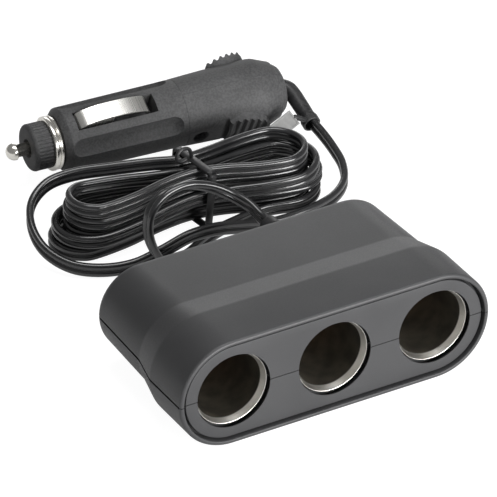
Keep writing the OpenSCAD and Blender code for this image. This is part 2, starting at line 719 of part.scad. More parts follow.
module plug_shell_back() {
  color(plastic) in_plug() difference() {
    plug_half();
    translate([screw_at, -over, 0]) rotate([-90, 0, 0]) cylinder(r = plug_screw_r, h = cavity_r);
  }
}

module plug_shell_front() {
  color(plastic) in_plug() mirror([0, 1, 0]) difference() {
    plug_half();
    translate([screw_at, -over, 0]) rotate([-90, 0, 0]) {
      cylinder(r = plug_screw_r + seat, h = handle_d);
      translate([0, 0, over - plug_screw_low]) cylinder(r = plug_screw_head_r + slip * 2, h = handle_d);
    }
  }
}

module plug_screw() {
  color("silver") in_plug() translate([screw_at, 0, 0]) rotate([-90, 0, 0]) difference() {
    union() {
      translate([0, 0, plug_screw_low - plug_screw_head_h / 2])
        cylinder(r = plug_screw_r - touch, h = plug_screw_tip - plug_screw_low);
      translate([0, 0, plug_screw_low - plug_screw_head_h - touch])
        cylinder(r = plug_screw_head_r, h = plug_screw_head_h);
    }
    for (turn = [0, 90]) rotate([0, 0, turn])
      translate([-plug_screw_head_r / 2, -plug_screw_head_r / 10, plug_screw_low - 1.5 * plug_screw_head_h])
        cube([plug_screw_head_r, plug_screw_head_r / 5, plug_screw_head_h]);
  }
}

// Boot: its anchor sits in the shells, and its sleeve bends down towards the floor
boot_r = 2.85;
boot_end_share = 0.86;
boot_points = [
  [66.9, 118.4, 12.4], [68.5, 116.9, 12], [68.9, 114.4, 11.2], [68.9, 111.4, 10.2], [68.8, 107.8, 9]
];
function plug_point(at) = plug_at + at * [cos(plug_yaw), sin(plug_yaw), 0];
boot_sides = [for (a = [0:36:324]) boot_r * [cos(a), sin(a)]];
module plug_boot() {
  path = [for (p = concat([plug_point(boot_flange_at + boot_flange_t / 2)], boot_points, [boot_end]))
    concat(p, [0, 0, 1])];
  color(cord_colour) {
    in_plug() along() translate([0, 0, boot_flange_at + slip])
      cylinder(r = boot_flange_r - slip, h = boot_flange_t - 2 * slip);
    tube(smooth(path, 2), boot_sides, plug_point(1) - plug_at, unit(boot_way), boot_end_share);
  }
}

module thread_collar() {
  r = thread_d / 2;
  crests = floor((collar_flange_at - collar_front - thread_room) / thread_pitch);
  color(nickel) in_plug() along() rotate_extrude() polygon(concat(
    [[chamber_d / 2, collar_back], [chamber_d / 2, collar_front], [r - thread_depth, collar_front]],
    [for (i = [0:crests - 1], k = [0:1])
      [r - (k == 0 ? thread_depth : 0), collar_front + (i + 0.25 + k / 2) * thread_pitch]],
    [[r - thread_depth, collar_front + crests * thread_pitch], [r - thread_depth, collar_flange_at]],
    [[collar_flange_d / 2, collar_flange_at], [collar_flange_d / 2, collar_flange_at + collar_flange_t]],
    [[r, collar_flange_at + collar_flange_t], [r, collar_back]]
  ));
}

// Ring's outline as shares of its radius and of its length
ring_shares = [[0.94, 0], [1, 0.1], [1, 0.42], [0.95, 0.5], [0.95, 0.58], [0.985, 0.66], [0.985, 0.92], [0.93, 1]];
module nose_ring() {
  bore = thread_d / 2 + slip;
  color(nickel) in_plug() along() rotate_extrude() polygon(concat(
    [[bore, ring_front]],
    [for (s = ring_shares) [s[0] * ring_d / 2, ring_front + s[1] * ring_len]],
    [[bore, ring_back]]
  ));
}

// Cap's outline as shares of its radius and of its length, up to its ridges
cap_shares = [[0, 0], [0.87, 0], [0.96, 0.05], [1, 0.15], [1, 0.19]];
module nose_cap() {
  r = cap_d / 2;
  ridge = 0.35;
  smooth_end = cap_front + cap_shares[len(cap_shares) - 1][1] * cap_len;
  color(plastic) in_plug() along() difference() {
    union() {
      rotate_extrude() polygon(concat(
        [for (s = cap_shares) [s[0] * r, cap_front + s[1] * cap_len]],
        [[r - 2 * ridge, smooth_end], [r - 2 * ridge, cap_back], [0, cap_back]]
      ));
      translate([0, 0, smooth_end - ridge]) linear_extrude(height = cap_back - smooth_end + ridge - slip)
        polygon([for (i = [0:cap_ridges - 1], k = [0:3]) let (a = (i + k / 4) * 360 / cap_ridges)
          (k < 2 ? r - slip : r - ridge) * [cos(a), sin(a)]]);
    }
    translate([0, 0, cap_front - over]) cylinder(d = ball_d + 2 * slip, h = cap_len);
    translate([0, 0, cap_front + cap_wall]) cylinder(d = chamber_d, h = cap_len);
    translate([0, 0, collar_front - slip]) cylinder(d = thread_d + 2 * slip, h = cap_len);
  }
}

module tip_pin() {
  head = ball_d / 2 + head_rim;
  color(nickel) in_plug() along() {
    intersection() {
      union() {
        translate([0, 0, ball_d / 2]) sphere(d = ball_d);
        translate([0, 0, ball_d / 2]) cylinder(d = ball_d, h = head_rim);
      }
      cylinder(d = 2 * ball_d, h = head);
    }
    translate([0, 0, ball_d / 2]) cylinder(d = pin_d, h = pin_flange_at + touch - ball_d / 2);
    translate([0, 0, pin_flange_at]) cylinder(d = pin_flange_d, h = pin_flange_t);
  }
}

// Fuse: a glass tube with a cup on each end
fuse_cup_len = 6;
fuse_cup_wall = 0.25;
fuse_glass_wall = 0.6;
module fuse_glass() {
  d = fuse_d - 2 * fuse_cup_wall - 2 * slip;
  color([0.8, 0.88, 0.88, 0.5]) in_plug() along() difference() {
    translate([0, 0, fuse_front + 2 * fuse_cup_wall + slip])
      cylinder(d = d, h = fuse_len - 4 * fuse_cup_wall - 2 * slip);
    translate([0, 0, fuse_front]) cylinder(d = d - 2 * fuse_glass_wall, h = fuse_len);
  }
}
module fuse_cup() {
  difference() {
    cylinder(d = fuse_d, h = fuse_cup_len);
    translate([0, 0, 2 * fuse_cup_wall]) cylinder(d = fuse_d - 2 * fuse_cup_wall, h = fuse_cup_len);
  }
}
module fuse_cap_front() {
  color(nickel) in_plug() along() translate([0, 0, fuse_front]) fuse_cup();
}
module fuse_cap_rear() {
  color(nickel) in_plug() along() translate([0, 0, fuse_back]) mirror([0, 0, 1]) fuse_cup();
}

// Coil spring between the fuse and its seat
spring_r = 2.5;
spring_wire_r = 0.35;
spring_turns = 6;
spring_rings = 8;
module fuse_spring() {
  count = spring_turns * spring_rings;
  from = fuse_back + slip + spring_wire_r;
  rise = (spring_len - 2 * slip - 2 * spring_wire_r) / count;
  path = [for (i = [0:count]) let (a = i * 360 / spring_rings)
    [from + i * rise, spring_r * cos(a), spring_r * sin(a), 1, 0, 0]];
  color(nickel) in_plug() tube(path, [for (a = [0:60:300]) spring_wire_r * [cos(a), sin(a)]], false, false);
}

module spring_seat() {
  tab_w = 3;
  color([0.8, 0.66, 0.36]) in_plug() along() {
    translate([0, 0, spring_back + slip]) cylinder(d = seat_d, h = seat_t);
    translate([-tab_w / 2, -seat_t / 2, spring_back + slip + seat_t / 2])
      cube([tab_w, seat_t, screw_at - plug_boss_r - seat - spring_back - seat_t / 2]);
  }
}

// Side contact: a bowed strip whose front end turns down to the window's floor
leaf_shares = [[0, 0.01], [0, 0.42], [0.04, 0.7], [0.18, 0.92], [0.43, 1], [0.62, 0.98], [0.8, 0.88], [0.92, 0.73],
  [0.955, 0.6]];
leaf_rise = 6.8;
leaf_side_gap = 0.25;
module leaf() {
  top = smooth([for (s = leaf_shares) [window_front + leaf_side_gap + s[0] * (window_len - 2 * leaf_side_gap),
    window_floor + leaf_side_gap + s[1] * leaf_rise]], 3);
  last = len(top) - 1;
  under = [for (i = [last:-1:0]) let (d = unit(top[min(i + 1, last)] - top[max(i - 1, 0)]))
    top[i] + leaf_t * [d[1], -d[0]]];
  translate([0, leaf_w / 2, 0]) rotate([90, 0, 0]) linear_extrude(height = leaf_w) polygon(concat(top, under));
}
module side_contact_upper() {
  color(nickel) in_plug() leaf();
}
module side_contact_lower() {
  color(nickel) in_plug() rotate([180, 0, 0]) leaf();
}

// Wires inside the housing, from the strain relief to the strips
wire_start_y = back_y - shell_wall - relief_flange_t - touch;
wire_apart = 1.2;
wire_bend = 2;
strip_end = [socket_pitch / 4, front_y + strip_depth + strip_t + touch];
positive_shares = [[0, 0], [0.03, 0.2], [0.34, 0.5], [0.8, 0.64], [1, 0.82], [1, 1]];
module positive_wire() {
  start = [relief_x - wire_apart, wire_start_y];
  path = smooth([for (s = positive_shares) [
    start[0] + s[0] * (strip_end[0] - start[0]), start[1] + s[1] * (strip_end[1] - start[1]), mid_z, 0, 0, 1]], 2);
  color("firebrick") tube(path, wire_sides, [0, -1, 0], [0, -1, 0]);
}
negative_shares = [[0, 0, 0], [0.1, 0.3, 0.2], [0.7, 0.72, 0.74]];
module negative_wire() {
  start = [relief_x + wire_apart, wire_start_y, mid_z];
  hole = [wire_hole_at[0], front_y + rib_depths[1] + rib_t / 2, mid_z - wire_hole_at[1]];
  end = [wire_hole_at[0], front_y + earth_strip_depth + earth_strip_w / 2, mid_z - sleeve_r];
  path = smooth([for (p = concat(
    [for (s = negative_shares) [for (k = [0:2]) start[k] + s[k] * (hole[k] + (k == 1 ? wire_bend : 0) - start[k])]],
    [hole + [0, wire_bend, 0], hole - [0, wire_bend, 0]],
    [end + [0, wire_bend / 4, wire_bend], end]
  )) concat(p, [1, 0, 0])], 2);
  color("dimgray") tube(path, wire_sides, [0, -1, 0], [0, 0, -1]);
}

upper_shell();
lower_shell();
housing_screws();
strain_relief();
socket_sleeve(-1);  // socket_sleeve_left
socket_sleeve(0);  // socket_sleeve_middle
socket_sleeve(1);  // socket_sleeve_right
insulator(-1);  // insulator_left
insulator(0);  // insulator_middle
insulator(1);  // insulator_right
centre_contact(-1);  // centre_contact_left
centre_contact(0);  // centre_contact_middle
centre_contact(1);  // centre_contact_right
positive_strip();
negative_strip();
positive_wire();
negative_wire();
cord_arch();
cord_hank();
cord_lead();
hank_tie();
cord_tag();
plug_shell_front();
plug_shell_back();
plug_screw();
plug_boot();
thread_collar();
nose_ring();
nose_cap();
tip_pin();
fuse_glass();
fuse_cap_front();
fuse_cap_rear();
fuse_spring();
spring_seat();
side_contact_upper();
side_contact_lower();
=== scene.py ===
"""Car power socket splitter: a black housing with three sockets, a tied twin cord and its plug."""
import json
from math import atan2, cos, degrees, floor, pi, radians, sin, tan

import bmesh
import bpy
from mathutils import Matrix, Vector

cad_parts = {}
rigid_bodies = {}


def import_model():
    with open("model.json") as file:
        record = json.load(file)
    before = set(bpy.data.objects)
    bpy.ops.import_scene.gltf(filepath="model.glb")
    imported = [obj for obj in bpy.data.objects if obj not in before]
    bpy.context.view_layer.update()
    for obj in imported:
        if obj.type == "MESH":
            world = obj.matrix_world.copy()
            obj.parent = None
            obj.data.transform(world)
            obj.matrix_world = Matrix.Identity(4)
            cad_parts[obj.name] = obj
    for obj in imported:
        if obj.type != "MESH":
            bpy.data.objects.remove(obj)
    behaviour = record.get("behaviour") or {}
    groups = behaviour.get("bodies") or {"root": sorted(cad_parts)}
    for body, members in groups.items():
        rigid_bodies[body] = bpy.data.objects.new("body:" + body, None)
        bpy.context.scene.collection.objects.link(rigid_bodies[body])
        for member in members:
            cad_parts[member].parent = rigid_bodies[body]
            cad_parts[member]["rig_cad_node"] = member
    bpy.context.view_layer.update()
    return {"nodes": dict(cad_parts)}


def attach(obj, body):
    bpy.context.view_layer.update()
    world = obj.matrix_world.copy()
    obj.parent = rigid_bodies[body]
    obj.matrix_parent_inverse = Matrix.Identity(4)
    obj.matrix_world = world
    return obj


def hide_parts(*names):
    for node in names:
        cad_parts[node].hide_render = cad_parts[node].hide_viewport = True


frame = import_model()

MM = 0.001
deselect = bpy.ops.object.select_all
deselect(action="DESELECT")

# Camera: a long lens from the front left, looking a third of the way down. The housing's
# middle lies a little right of the picture's middle, and the plug fills the far top left.
turn, tilt = radians(-29.98), radians(32.38)
to_camera = Vector((sin(turn) * cos(tilt), -cos(turn) * cos(tilt), sin(tilt)))
to_right = Vector((cos(turn), sin(turn), 0))
to_up = to_camera.cross(to_right)
housing_middle, left_of_it, above_it = Vector((0, 0.3, 17.45)) * MM, 11.10 * MM, 18.90 * MM
aim = housing_middle - left_of_it * to_right + above_it * to_up
distance, sensor, focal_pixels, picture_pixels = 2.0, 36, 6880, 497
bpy.ops.object.camera_add(location=aim + distance * to_camera)
camera = bpy.context.object
camera.rotation_euler = to_camera.to_track_quat("Z", "Y").to_euler()
camera.data.sensor_width = sensor
camera.data.lens = sensor * focal_pixels / picture_pixels
camera.data.clip_end = 20
bpy.context.scene.camera = camera


# Studio: a floor that the camera sees as white, under one large soft lamp above, a broad one in
# front, a small one behind, and a low, narrow one in front that draws the cord's highlights.
class Shade:
    """A shader socket with Python's operators, so that shader maths reads as plain sums."""

    def __init__(self, tree, socket):
        self.tree, self.socket = tree, socket

    def node(self, kind, settings=None, out=0, **values):
        """Adds a node. Its settings come first, then the values or links of its sockets."""
        made = self.tree.nodes.new("ShaderNode" + kind)
        for name, value in (settings or {}).items():
            setattr(made, name, value)
        for name, value in values.items():
            at = int(name[1:]) if name[1:].isdigit() else name.replace("_", " ")
            if isinstance(value, Shade):
                self.tree.links.new(value.socket, made.inputs[at])
            else:
                made.inputs[at].default_value = value
        return Shade(self.tree, made.outputs[out])

    def maths(self, operation, other):
        return self.node("Math", {"operation": operation}, _0=self, _1=other)

    def __add__(self, other):
        return self.maths("ADD", other)

    def __mul__(self, other):
        return self.maths("MULTIPLY", other)

    def between(self, low, high):
        """0 below low, 1 above high, and smooth between them."""
        return self.node("MapRange", {"interpolation_type": "SMOOTHSTEP"}, Value=self,
                         From_Min=low, From_Max=high)

    def mix(self, first, second):
        """The first colour where this is 0 and the second where it is 1."""
        first, second = ((*c, 1) if isinstance(c, tuple) else c for c in (first, second))
        return self.node("Mix", {"data_type": "RGBA"}, out=2, Factor=self, _6=first, _7=second)


def blank(name):
    """A material with a Principled shader: the material, its tree as a Shade, and the shader."""
    made = bpy.data.materials.new(name)
    made.use_nodes = True
    tree = made.node_tree
    shader = tree.nodes["Principled BSDF"]
    return made, Shade(tree, None), shader


def wire(tree, shader, **values):
    """Sets or links the shader's sockets by name."""
    for name, value in values.items():
        at = shader.inputs[name.replace("_", " ")]
        if isinstance(value, Shade):
            tree.tree.links.new(value.socket, at)
        else:
            at.default_value = (*value, 1) if isinstance(value, tuple) else value


def rays_into(tree):
    """1 for a ray from the camera, and 1 for that or for a ray from gloss or through glass."""
    rays = tree.node("LightPath").socket.node.outputs
    kinds = ("Is Camera Ray", "Is Glossy Ray", "Is Transmission Ray")
    direct, gloss, clear = (Shade(tree.tree, rays[kind]) for kind in kinds)
    return direct, direct.maths("MAXIMUM", gloss).maths("MAXIMUM", clear)


scene = bpy.context.scene
scene.view_settings.view_transform = "Standard"
floor_size, floor_drop = 3.0, 0.0001
bpy.ops.mesh.primitive_plane_add(size=floor_size, location=(0, 0, -floor_drop))
ground = bpy.context.object
ground.name = "floor"
paper, tree, shader = blank("white_paper")
wire(tree, shader, Base_Color=(0.16, 0.16, 0.16), Roughness=0.9)
direct, seen = rays_into(tree)
lit = tree.node("BsdfDiffuse", Color=direct.mix((0.8, 0.8, 0.8), (0.22, 0.22, 0.22)))
floor_glow, more_to_camera = 0.26, 0.7
glow = tree.node("Emission", Color=(1, 1, 1, 1), Strength=direct * more_to_camera + floor_glow)
bright = tree.node("AddShader", _0=lit, _1=glow)
shown = tree.node("MixShader", _0=seen, _1=Shade(tree.tree, shader.outputs[0]), _2=bright)
tree.tree.links.new(shown.socket, tree.tree.nodes["Material Output"].inputs[0])
ground.data.materials.append(paper)

world = bpy.data.worlds.new("studio")
scene.world = world
world.use_nodes = True
sky = Shade(world.node_tree, None)
direct, seen = rays_into(sky)
height = sky.node("SeparateXYZ", out=2, Vector=sky.node("TexCoord", out=0))
sky_light, less_above = 0.12, -0.04
soft = sky.node("Background", Color=(0.96, 0.97, 1, 1),
                Strength=height.between(0.05, 0.5) * less_above + sky_light)
sky_glow, more_to_camera = 0.25, 0.75
plain = sky.node("Background", Color=(1, 1, 1, 1), Strength=direct * more_to_camera + sky_glow)
both = sky.node("MixShader", _0=seen, _1=soft, _2=plain)
sky.tree.links.new(both.socket, sky.tree.nodes["World Output"].inputs[0])


def lamp(name, place, size, power, aimed_at=(0, 0.04, 0.015)):
    """A soft lamp, as wide and as long as its size says, that looks at a point of the object."""
    bpy.ops.object.light_add(type="AREA", location=place)
    made = bpy.context.object
    made.name = name
    made.data.shape = "RECTANGLE"
    made.data.size, made.data.size_y = size
    made.data.energy = power
    made.rotation_euler = (Vector(place) - Vector(aimed_at)).to_track_quat("Z", "Y").to_euler()


lamp("overhead", (0.1, -0.05, 1.2), (0.45, 1.1), 8)
lamp("back_window", (0.55, 1.0, 0.3), (0.6, 0.4), 1.6)
lamp("front_window", (0.3, -1.15, 0.3), (1.0, 0.5), 20)
lamp("low_front", (0.1, -1.2, 0.11), (0.6, 0.2), 3)


# Twin cord: two PVC insulated wires side by side, 1.32 m long. It leaves the strain relief,
# stands up in an arch, is wound into a hank of four layers on edge, and runs round to the plug.
def between_points(points, steps):
    """A smooth line through points that may carry more than a place: Catmull-Rom."""
    last, made = len(points) - 1, []
    for i in range(last):
        a, b, c, d = (points[min(max(i + k, 0), last)] for k in (-1, 0, 1, 2))
        for t in (k / steps for k in range(steps)):
            made.append([0.5 * (2 * q + (r - p) * t + (2 * p - 5 * q + 4 * r - s) * t * t
                                + (3 * q - p - 3 * r + s) * t**3) for p, q, r, s in zip(a, b, c, d)])
    return made + [list(points[last])]


def swept(name, path, section, taper=None, ways=(None, None)):
    """A closed tube along path: points with x, y, z and the direction of the section's width."""
    shape = bmesh.new()
    run, marks, rings, last = 0, [], [], len(path) - 1
    uv = shape.loops.layers.uv.new("along")
    for i, point in enumerate(path):
        place = Vector(point[:3])
        way = Vector(path[min(i + 1, last)][:3]) - Vector(path[max(i - 1, 0)][:3])
        if i == 0 and ways[0]:
            way = Vector(ways[0])
        elif i == last and ways[1]:
            way = Vector(ways[1])
        way = way.normalized()
        side = way.cross(Vector(point[3:6])).normalized()
        wide = side.cross(way)
        grow = taper(i / last) if taper else 1
        rings.append([shape.verts.new((place + grow * (x * wide + y * side)) * MM) for x, y in section])
        run += (place - Vector(path[max(i - 1, 0)][:3])).length
        marks.append(run)
    n = len(section)
    for i in range(last):
        for k in range(n):
            corners = ((i, k), (i + 1, k), (i + 1, k + 1), (i, k + 1))
            face = shape.faces.new([rings[u][v % n] for u, v in corners])
            for loop, (u, v) in zip(face.loops, corners):
                loop[uv].uv = (marks[u], v / n)
    for ring in (rings[0], rings[-1][::-1]):
        shape.faces.new(ring)
    bmesh.ops.recalc_face_normals(shape, faces=shape.faces[:])
    mesh = bpy.data.meshes.new(name)
    shape.to_mesh(mesh)
    shape.free()
    mesh.polygons.foreach_set("use_smooth", [True] * len(mesh.polygons))
    made = bpy.data.objects.new(name, mesh)
    scene.collection.objects.link(made)
    return made


def dress(piece, material, body="root", stands_for=()):
    """Gives a piece its finish and its body, and hides the CAD nodes that it stands for."""
    piece.data.materials.clear()
    piece.data.materials.append(material)
    if "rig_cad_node" not in piece:
        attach(piece, body)
    if stands_for:
        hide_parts(*stands_for)


cord_w, cord_t = 4.4, 2.3
hank_at, hank_yaw = Vector((14, 85, 0)), radians(-3.5)
hank_len, hank_w, hank_gap, hank_side_gap = 62, 24, 0.5, 1.2
hank_turns, turns_per_layer, rings_per_turn = 5.5, 1.5, 24
run_rings, bend_rings = 3, 6
waist_in, waist_lift, waist_layer_lean = 5, 1.1, -0.12
reach_left, reach_right = (3, 0.5, -1.5, 0), (1, 3.5, 0, -2)
layer_heights = [cord_w / 2 + k * (cord_w + hank_gap) for k in range(4)]


def by_layer(values, u):
    """A value that goes from one layer's to the next over the half turn round the change."""
    k = floor(u / turns_per_layer + 0.5)
    f = min(max((u - k * turns_per_layer) / 0.5 + 0.5, 0), 1)
    low, high = values[max(min(k - 1, 3), 0)], values[max(min(k, 3), 0)]
    return low + (high - low) * f * f * (3 - 2 * f)


def hank_ring(i):
    """One of the hank's 24 rings a turn: it spirals in on one layer and out again on the next."""
    u, j, half = i / rings_per_turn, i % rings_per_turn, rings_per_turn // 2
    q = u / turns_per_layer
    f = (q - floor(q)) * turns_per_layer
    r = hank_w / 2 - (cord_t + hank_side_gap) * (f if floor(q) % 2 == 0 else turns_per_layer - f)
    side, m = (1 if j < half else -1), j % half
    angle = min(max(m - run_rings, 0), bend_rings) * pi / bend_rings
    run = 1
    if m <= run_rings:
        run = m / run_rings
    elif m >= run_rings + bend_rings:
        run = (half - m) / run_rings
    reach = hank_len / 2 + by_layer(reach_right if side > 0 else reach_left, u)
    waist = cos(pi / 2 * run) ** 2 if run < 1 else 0
    z = by_layer(layer_heights, u) + waist_lift * waist
    x, across = side * run * reach, r - waist_in * waist
    if 0 < angle < pi:
        x, across = side * (run * reach + r * sin(angle)), r * cos(angle)
    elif m > run_rings:
        across = -across
    return x, -side * across + waist_layer_lean * (z - cord_w / 2), z


def to_world(p):
    """A point of the path in the world, from the hank's own frame."""
    return [*(hank_at + Matrix.Rotation(hank_yaw, 3, "Z") @ Vector(p)), 0, 0, 1]


hank_path = [to_world(hank_ring(i)) for i in range(2, int(hank_turns * rings_per_turn) + 1)]
relief_x = 19.8
relief_end = (relief_x, 45.2, 17.45)
boot_end, boot_way = (68.5, 104.3, 8), (-0.06, -0.96, -0.28)
arch_points = [
    [*relief_end, 0, 0, -1], [19.6, 49, 17.9, 0, 0, -1], [18.2, 54, 19.8, 0.1, 0.2, -1],
    [14, 58, 22.8, 0, 0.4, -0.9], [8, 60, 26.2, 0, 0.6, -0.8], [1, 60.6, 28.6, 0, 0.8, -0.6],
    [-6, 60.6, 28, 0, 0.9, -0.4], [-11, 60.4, 24.4, 0, 1, -0.1], [-12.8, 60, 18.6, 0, 1, 0],
    [-12, 59.2, 12.4, -0.1, 1, 0.1], [-9, 58.8, 7, -0.2, 0.9, 0.3], [-4, 59.8, 3.8, -0.2, 0.5, 0.7],
    [2, 62.4, 2.6, 0, 0.2, 1], [9, 66.6, 2.3, 0, 0, 1], [17, 70.2, 2.3, 0, 0, 1],
    [25.4, 72, 2.3, 0, 0, 1],
]
lead_points = [to_world(p) for p in (
    [-9, 6, 18], [-20.6, 9.4, 17.6], [-31, 12.6, 16.8], [-39.6, 13.4, 15], [-46.6, 9.4, 12],
    [-50, 1.8, 8.8], [-49.4, -6.4, 5.4], [-44.6, -14.4, 3.2], [-36.4, -19.2, 2.4], [-27, -21.6, 3],
    [-18, -22.6, 6], [-9.6, -22.6, 8.6], [-1, -22, 8.4], [8, -21, 6.2], [17, -19.6, 3.4],
    [26, -18.4, 2.4], [35, -16.8, 2.4], [43.4, -13.4, 2.4], [50, -7.4, 2.6], [53.6, 0.6, 3.4],
)] + [[68.8, 89.6, 4.6, 0, 0, 1], [69, 96.6, 6.2, 0, 0, 1], [*boot_end, 0, 0, 1]]
cord_path = between_points(arch_points + hank_path + lead_points, 6)
lobe = [(radians(a), cord_t / 2 - 0.02) for a in range(-153, 154, 18)]
twin = [(cord_w / 4 + r * cos(a), r * sin(a)) for a, r in lobe]
twin += [(-x, -y) for x, y in twin]
cord = swept("twin_cord", cord_path, twin, ways=((0, 1, 0), [-x for x in boot_way]))
cord.select_set(True)
bpy.context.view_layer.objects.active = cord
bpy.ops.object.shade_smooth_by_angle(angle=radians(50))


def grained(name, light, dark, rough, scale, detail=2.0, relief=None, high=0.7, **sockets):
    """A material whose colour, gloss and relief follow one fine noise. Rough is the least
    roughness and its spread, and relief is the bump's strength and distance."""
    made, tree, shader = blank(name)
    noise = tree.node("TexNoise", Vector=tree.node("TexCoord", out=3), Scale=scale, Detail=detail)
    if relief:
        sockets["Normal"] = tree.node("Bump", Height=noise, Strength=relief[0], Distance=relief[1])
    wire(tree, shader, Base_Color=noise.between(0.3, high).mix(light, dark),
         Roughness=noise.between(0.3, 0.7) * rough[1] + rough[0], **sockets)
    return made


cord_pvc, tree, shader = blank("glossy_black_pvc")
where = tree.node("TexCoord", out=3)
drag = tree.node("TexNoise", Vector=where, Scale=160.0, Detail=3.0)
scuff = tree.node("TexNoise", Vector=where, Scale=900.0, Detail=2.0)
wire(tree, shader,
     Base_Color=drag.between(0.3, 0.8).mix((0.010, 0.010, 0.011), (0.022, 0.022, 0.023)),
     Roughness=scuff.between(0.35, 0.7) * 0.05 + 0.21, IOR=1.75)
dress(cord, cord_pvc, stands_for=("cord_arch", "cord_hank", "cord_lead"))


# Housing: two half shells in satin black ABS that meet at the sockets' middle plane. The front
# third of their length is fuller than the rear, with a soft flare between, and a rim stands
# round the front panel, outside a fine groove.
join_within = 0.002 * MM


def traced(name, points):
    """A new piece, still in edit mode: one corner, extruded from point to point in millimetres."""
    deselect(action="DESELECT")
    bpy.ops.mesh.primitive_plane_add(size=MM)
    piece = bpy.context.object
    piece.name = piece.data.name = name
    bpy.ops.object.mode_set(mode="EDIT")
    bpy.ops.mesh.select_mode(type="VERT")
    bpy.ops.mesh.merge(type="CENTER")
    bpy.ops.transform.translate(value=Vector(points[0]) * MM)
    for a, b in zip(points, points[1:]):
        step = (Vector(b) - Vector(a)) * MM
        bpy.ops.mesh.extrude_region_move(TRANSFORM_OT_translate={"value": step})
    bpy.ops.mesh.select_all(action="SELECT")
    return piece


def closed_up(piece, smooth=35, place=None):
    """Joins doubled corners, turns the faces outwards, shades the piece and puts it in its place."""
    bpy.ops.mesh.select_all(action="SELECT")
    bpy.ops.mesh.remove_doubles(threshold=join_within)
    bpy.ops.mesh.normals_make_consistent(inside=False)
    bpy.ops.object.mode_set(mode="OBJECT")
    if place:
        piece.matrix_world = place
        bpy.ops.object.transform_apply()
    bpy.ops.object.shade_smooth_by_angle(angle=radians(smooth))
    return piece


def turned(name, profile, place=None, steps=96, smooth=35):
    """A round piece: (place along X, radius) points in millimetres, spun round the X axis."""
    piece = traced(name, [(x, 0, r) for x, r in profile])
    bpy.ops.mesh.spin(steps=steps, angle=2 * pi, center=(0, 0, 0), axis=(1, 0, 0))
    return closed_up(piece, smooth, place)


def boxed(name, low, high, place=None, chamfer=0.0):
    """A block between two corners in millimetres, with its edges bevelled."""
    deselect(action="DESELECT")
    low, high = Vector(low), Vector(high)
    bpy.ops.mesh.primitive_cube_add(size=MM, location=(low + high) / 2 * MM, scale=high - low)
    piece = bpy.context.object
    piece.name = piece.data.name = name
    bpy.ops.object.transform_apply()
    bpy.ops.object.mode_set(mode="EDIT")
    if chamfer:
        bpy.ops.mesh.bevel(offset=chamfer * MM, segments=3, affect="EDGES")
    return closed_up(piece, place=place)


def worked(piece, tools, operation="DIFFERENCE"):
    """Cuts the tools out of the piece, or joins them to it, and takes the tools away."""
    deselect(action="DESELECT")
    bpy.context.view_layer.objects.active = piece
    piece.select_set(True)
    for tool in tools:
        step = piece.modifiers.new(operation.lower(), "BOOLEAN")
        step.operation, step.object, step.solver = operation, tool, "EXACT"
        bpy.ops.object.modifier_apply(modifier=step.name)
        bpy.data.objects.remove(tool)
    bpy.ops.object.shade_smooth_by_angle(angle=radians(30))
    return piece


def prism(name, outline, way, smooth=30):
    """A solid from a closed outline, whose first corner is also its last, drawn out along way."""
    piece = traced(name, outline)
    bpy.ops.mesh.remove_doubles(threshold=join_within)
    bpy.ops.mesh.select_all(action="SELECT")
    bpy.ops.mesh.edge_face_add()
    bpy.ops.mesh.extrude_region_move(TRANSFORM_OT_translate={"value": Vector(way) * MM})
    return closed_up(piece, smooth)


def arc(centre, r, first, last, steps):
    """Points of an arc, with its angles in degrees."""
    angles = [radians(first + (last - first) * i / steps) for i in range(steps + 1)]
    return [(centre[0] + r * cos(a), centre[1] + r * sin(a)) for a in angles]


pitch, end_x, front_y, mid_z = 33.5, 34.2, -28.2, 17.45
front_r, rear_r, back_r, wall = 17.45, 15.0, 14.1, 2.0
front_depth, flare_end, depth = 17.9, 28.5, 56.4
recess, panel_t, panel_r, rim_in, groove = 0.9, 3.2, 15.2, 16.0, 3.6
hole_r, undercut_r = 12, 13.6
sleeve_front, sleeve_back = 2.4, 39.4
seam, side_seam = 0.12, 0.36
slope = degrees(atan2(front_r - rear_r, flare_end - front_depth))
side = [(0, recess), *arc((panel_r - 0.3, recess + 0.3), 0.3, -90, 0, 3),
        (panel_r, groove), (rim_in, groove),
        *arc((rim_in + 0.35, 0.35), 0.35, 180, 270, 4), *arc((front_r - 1, 1), 1, -90, 0, 8),
        *arc((front_r - 6, front_depth - 6 * tan(radians(slope / 2))), 6, 0, slope, 6),
        *arc((rear_r + 6, flare_end + 6 * tan(radians(slope / 2))), 6, 180 + slope, 182, 6),
        *arc((back_r - 3.4, depth - 3.4), 3.4, 2, 90, 10), (0, depth), (0, depth - wall),
        (back_r - 3.4, depth - wall), (back_r - wall, depth - 3.4), (rear_r - wall, flare_end),
        (front_r - wall, front_depth), (front_r - wall, recess + panel_t), (0, recess + panel_t),
        (0, recess)]


def half_shell(name, up):
    """One shell: its wall swept round one end, along, and round the other, then cut at the seam."""
    piece = traced(name, [(end_x + r, front_y + d, mid_z) for r, d in side])
    for x in (end_x, -end_x):
        bpy.ops.mesh.spin(steps=28, angle=up * pi / 2, center=(x * MM, 0, mid_z * MM), axis=(0, 1, 0))
        if x > 0:
            across = (-2 * end_x * MM, 0, 0)
            bpy.ops.mesh.extrude_region_move(TRANSFORM_OT_translate={"value": across})
    bpy.ops.mesh.select_all(action="SELECT")
    bpy.ops.mesh.remove_doubles(threshold=join_within)
    bpy.ops.mesh.normals_make_consistent(inside=False)
    bpy.ops.mesh.select_all(action="SELECT")
    bpy.ops.mesh.bisect(plane_co=(0, 0, (mid_z + up * seam) * MM), plane_no=(0, 0, up),
                        use_fill=True, clear_inner=True)
    return closed_up(piece)


def into_depth(x):
    """The place of a piece made along X that runs back into the housing from its front."""
    return Matrix.Translation(Vector((x, front_y, mid_z)) * MM) @ Matrix.Rotation(pi / 2, 4, "Z")


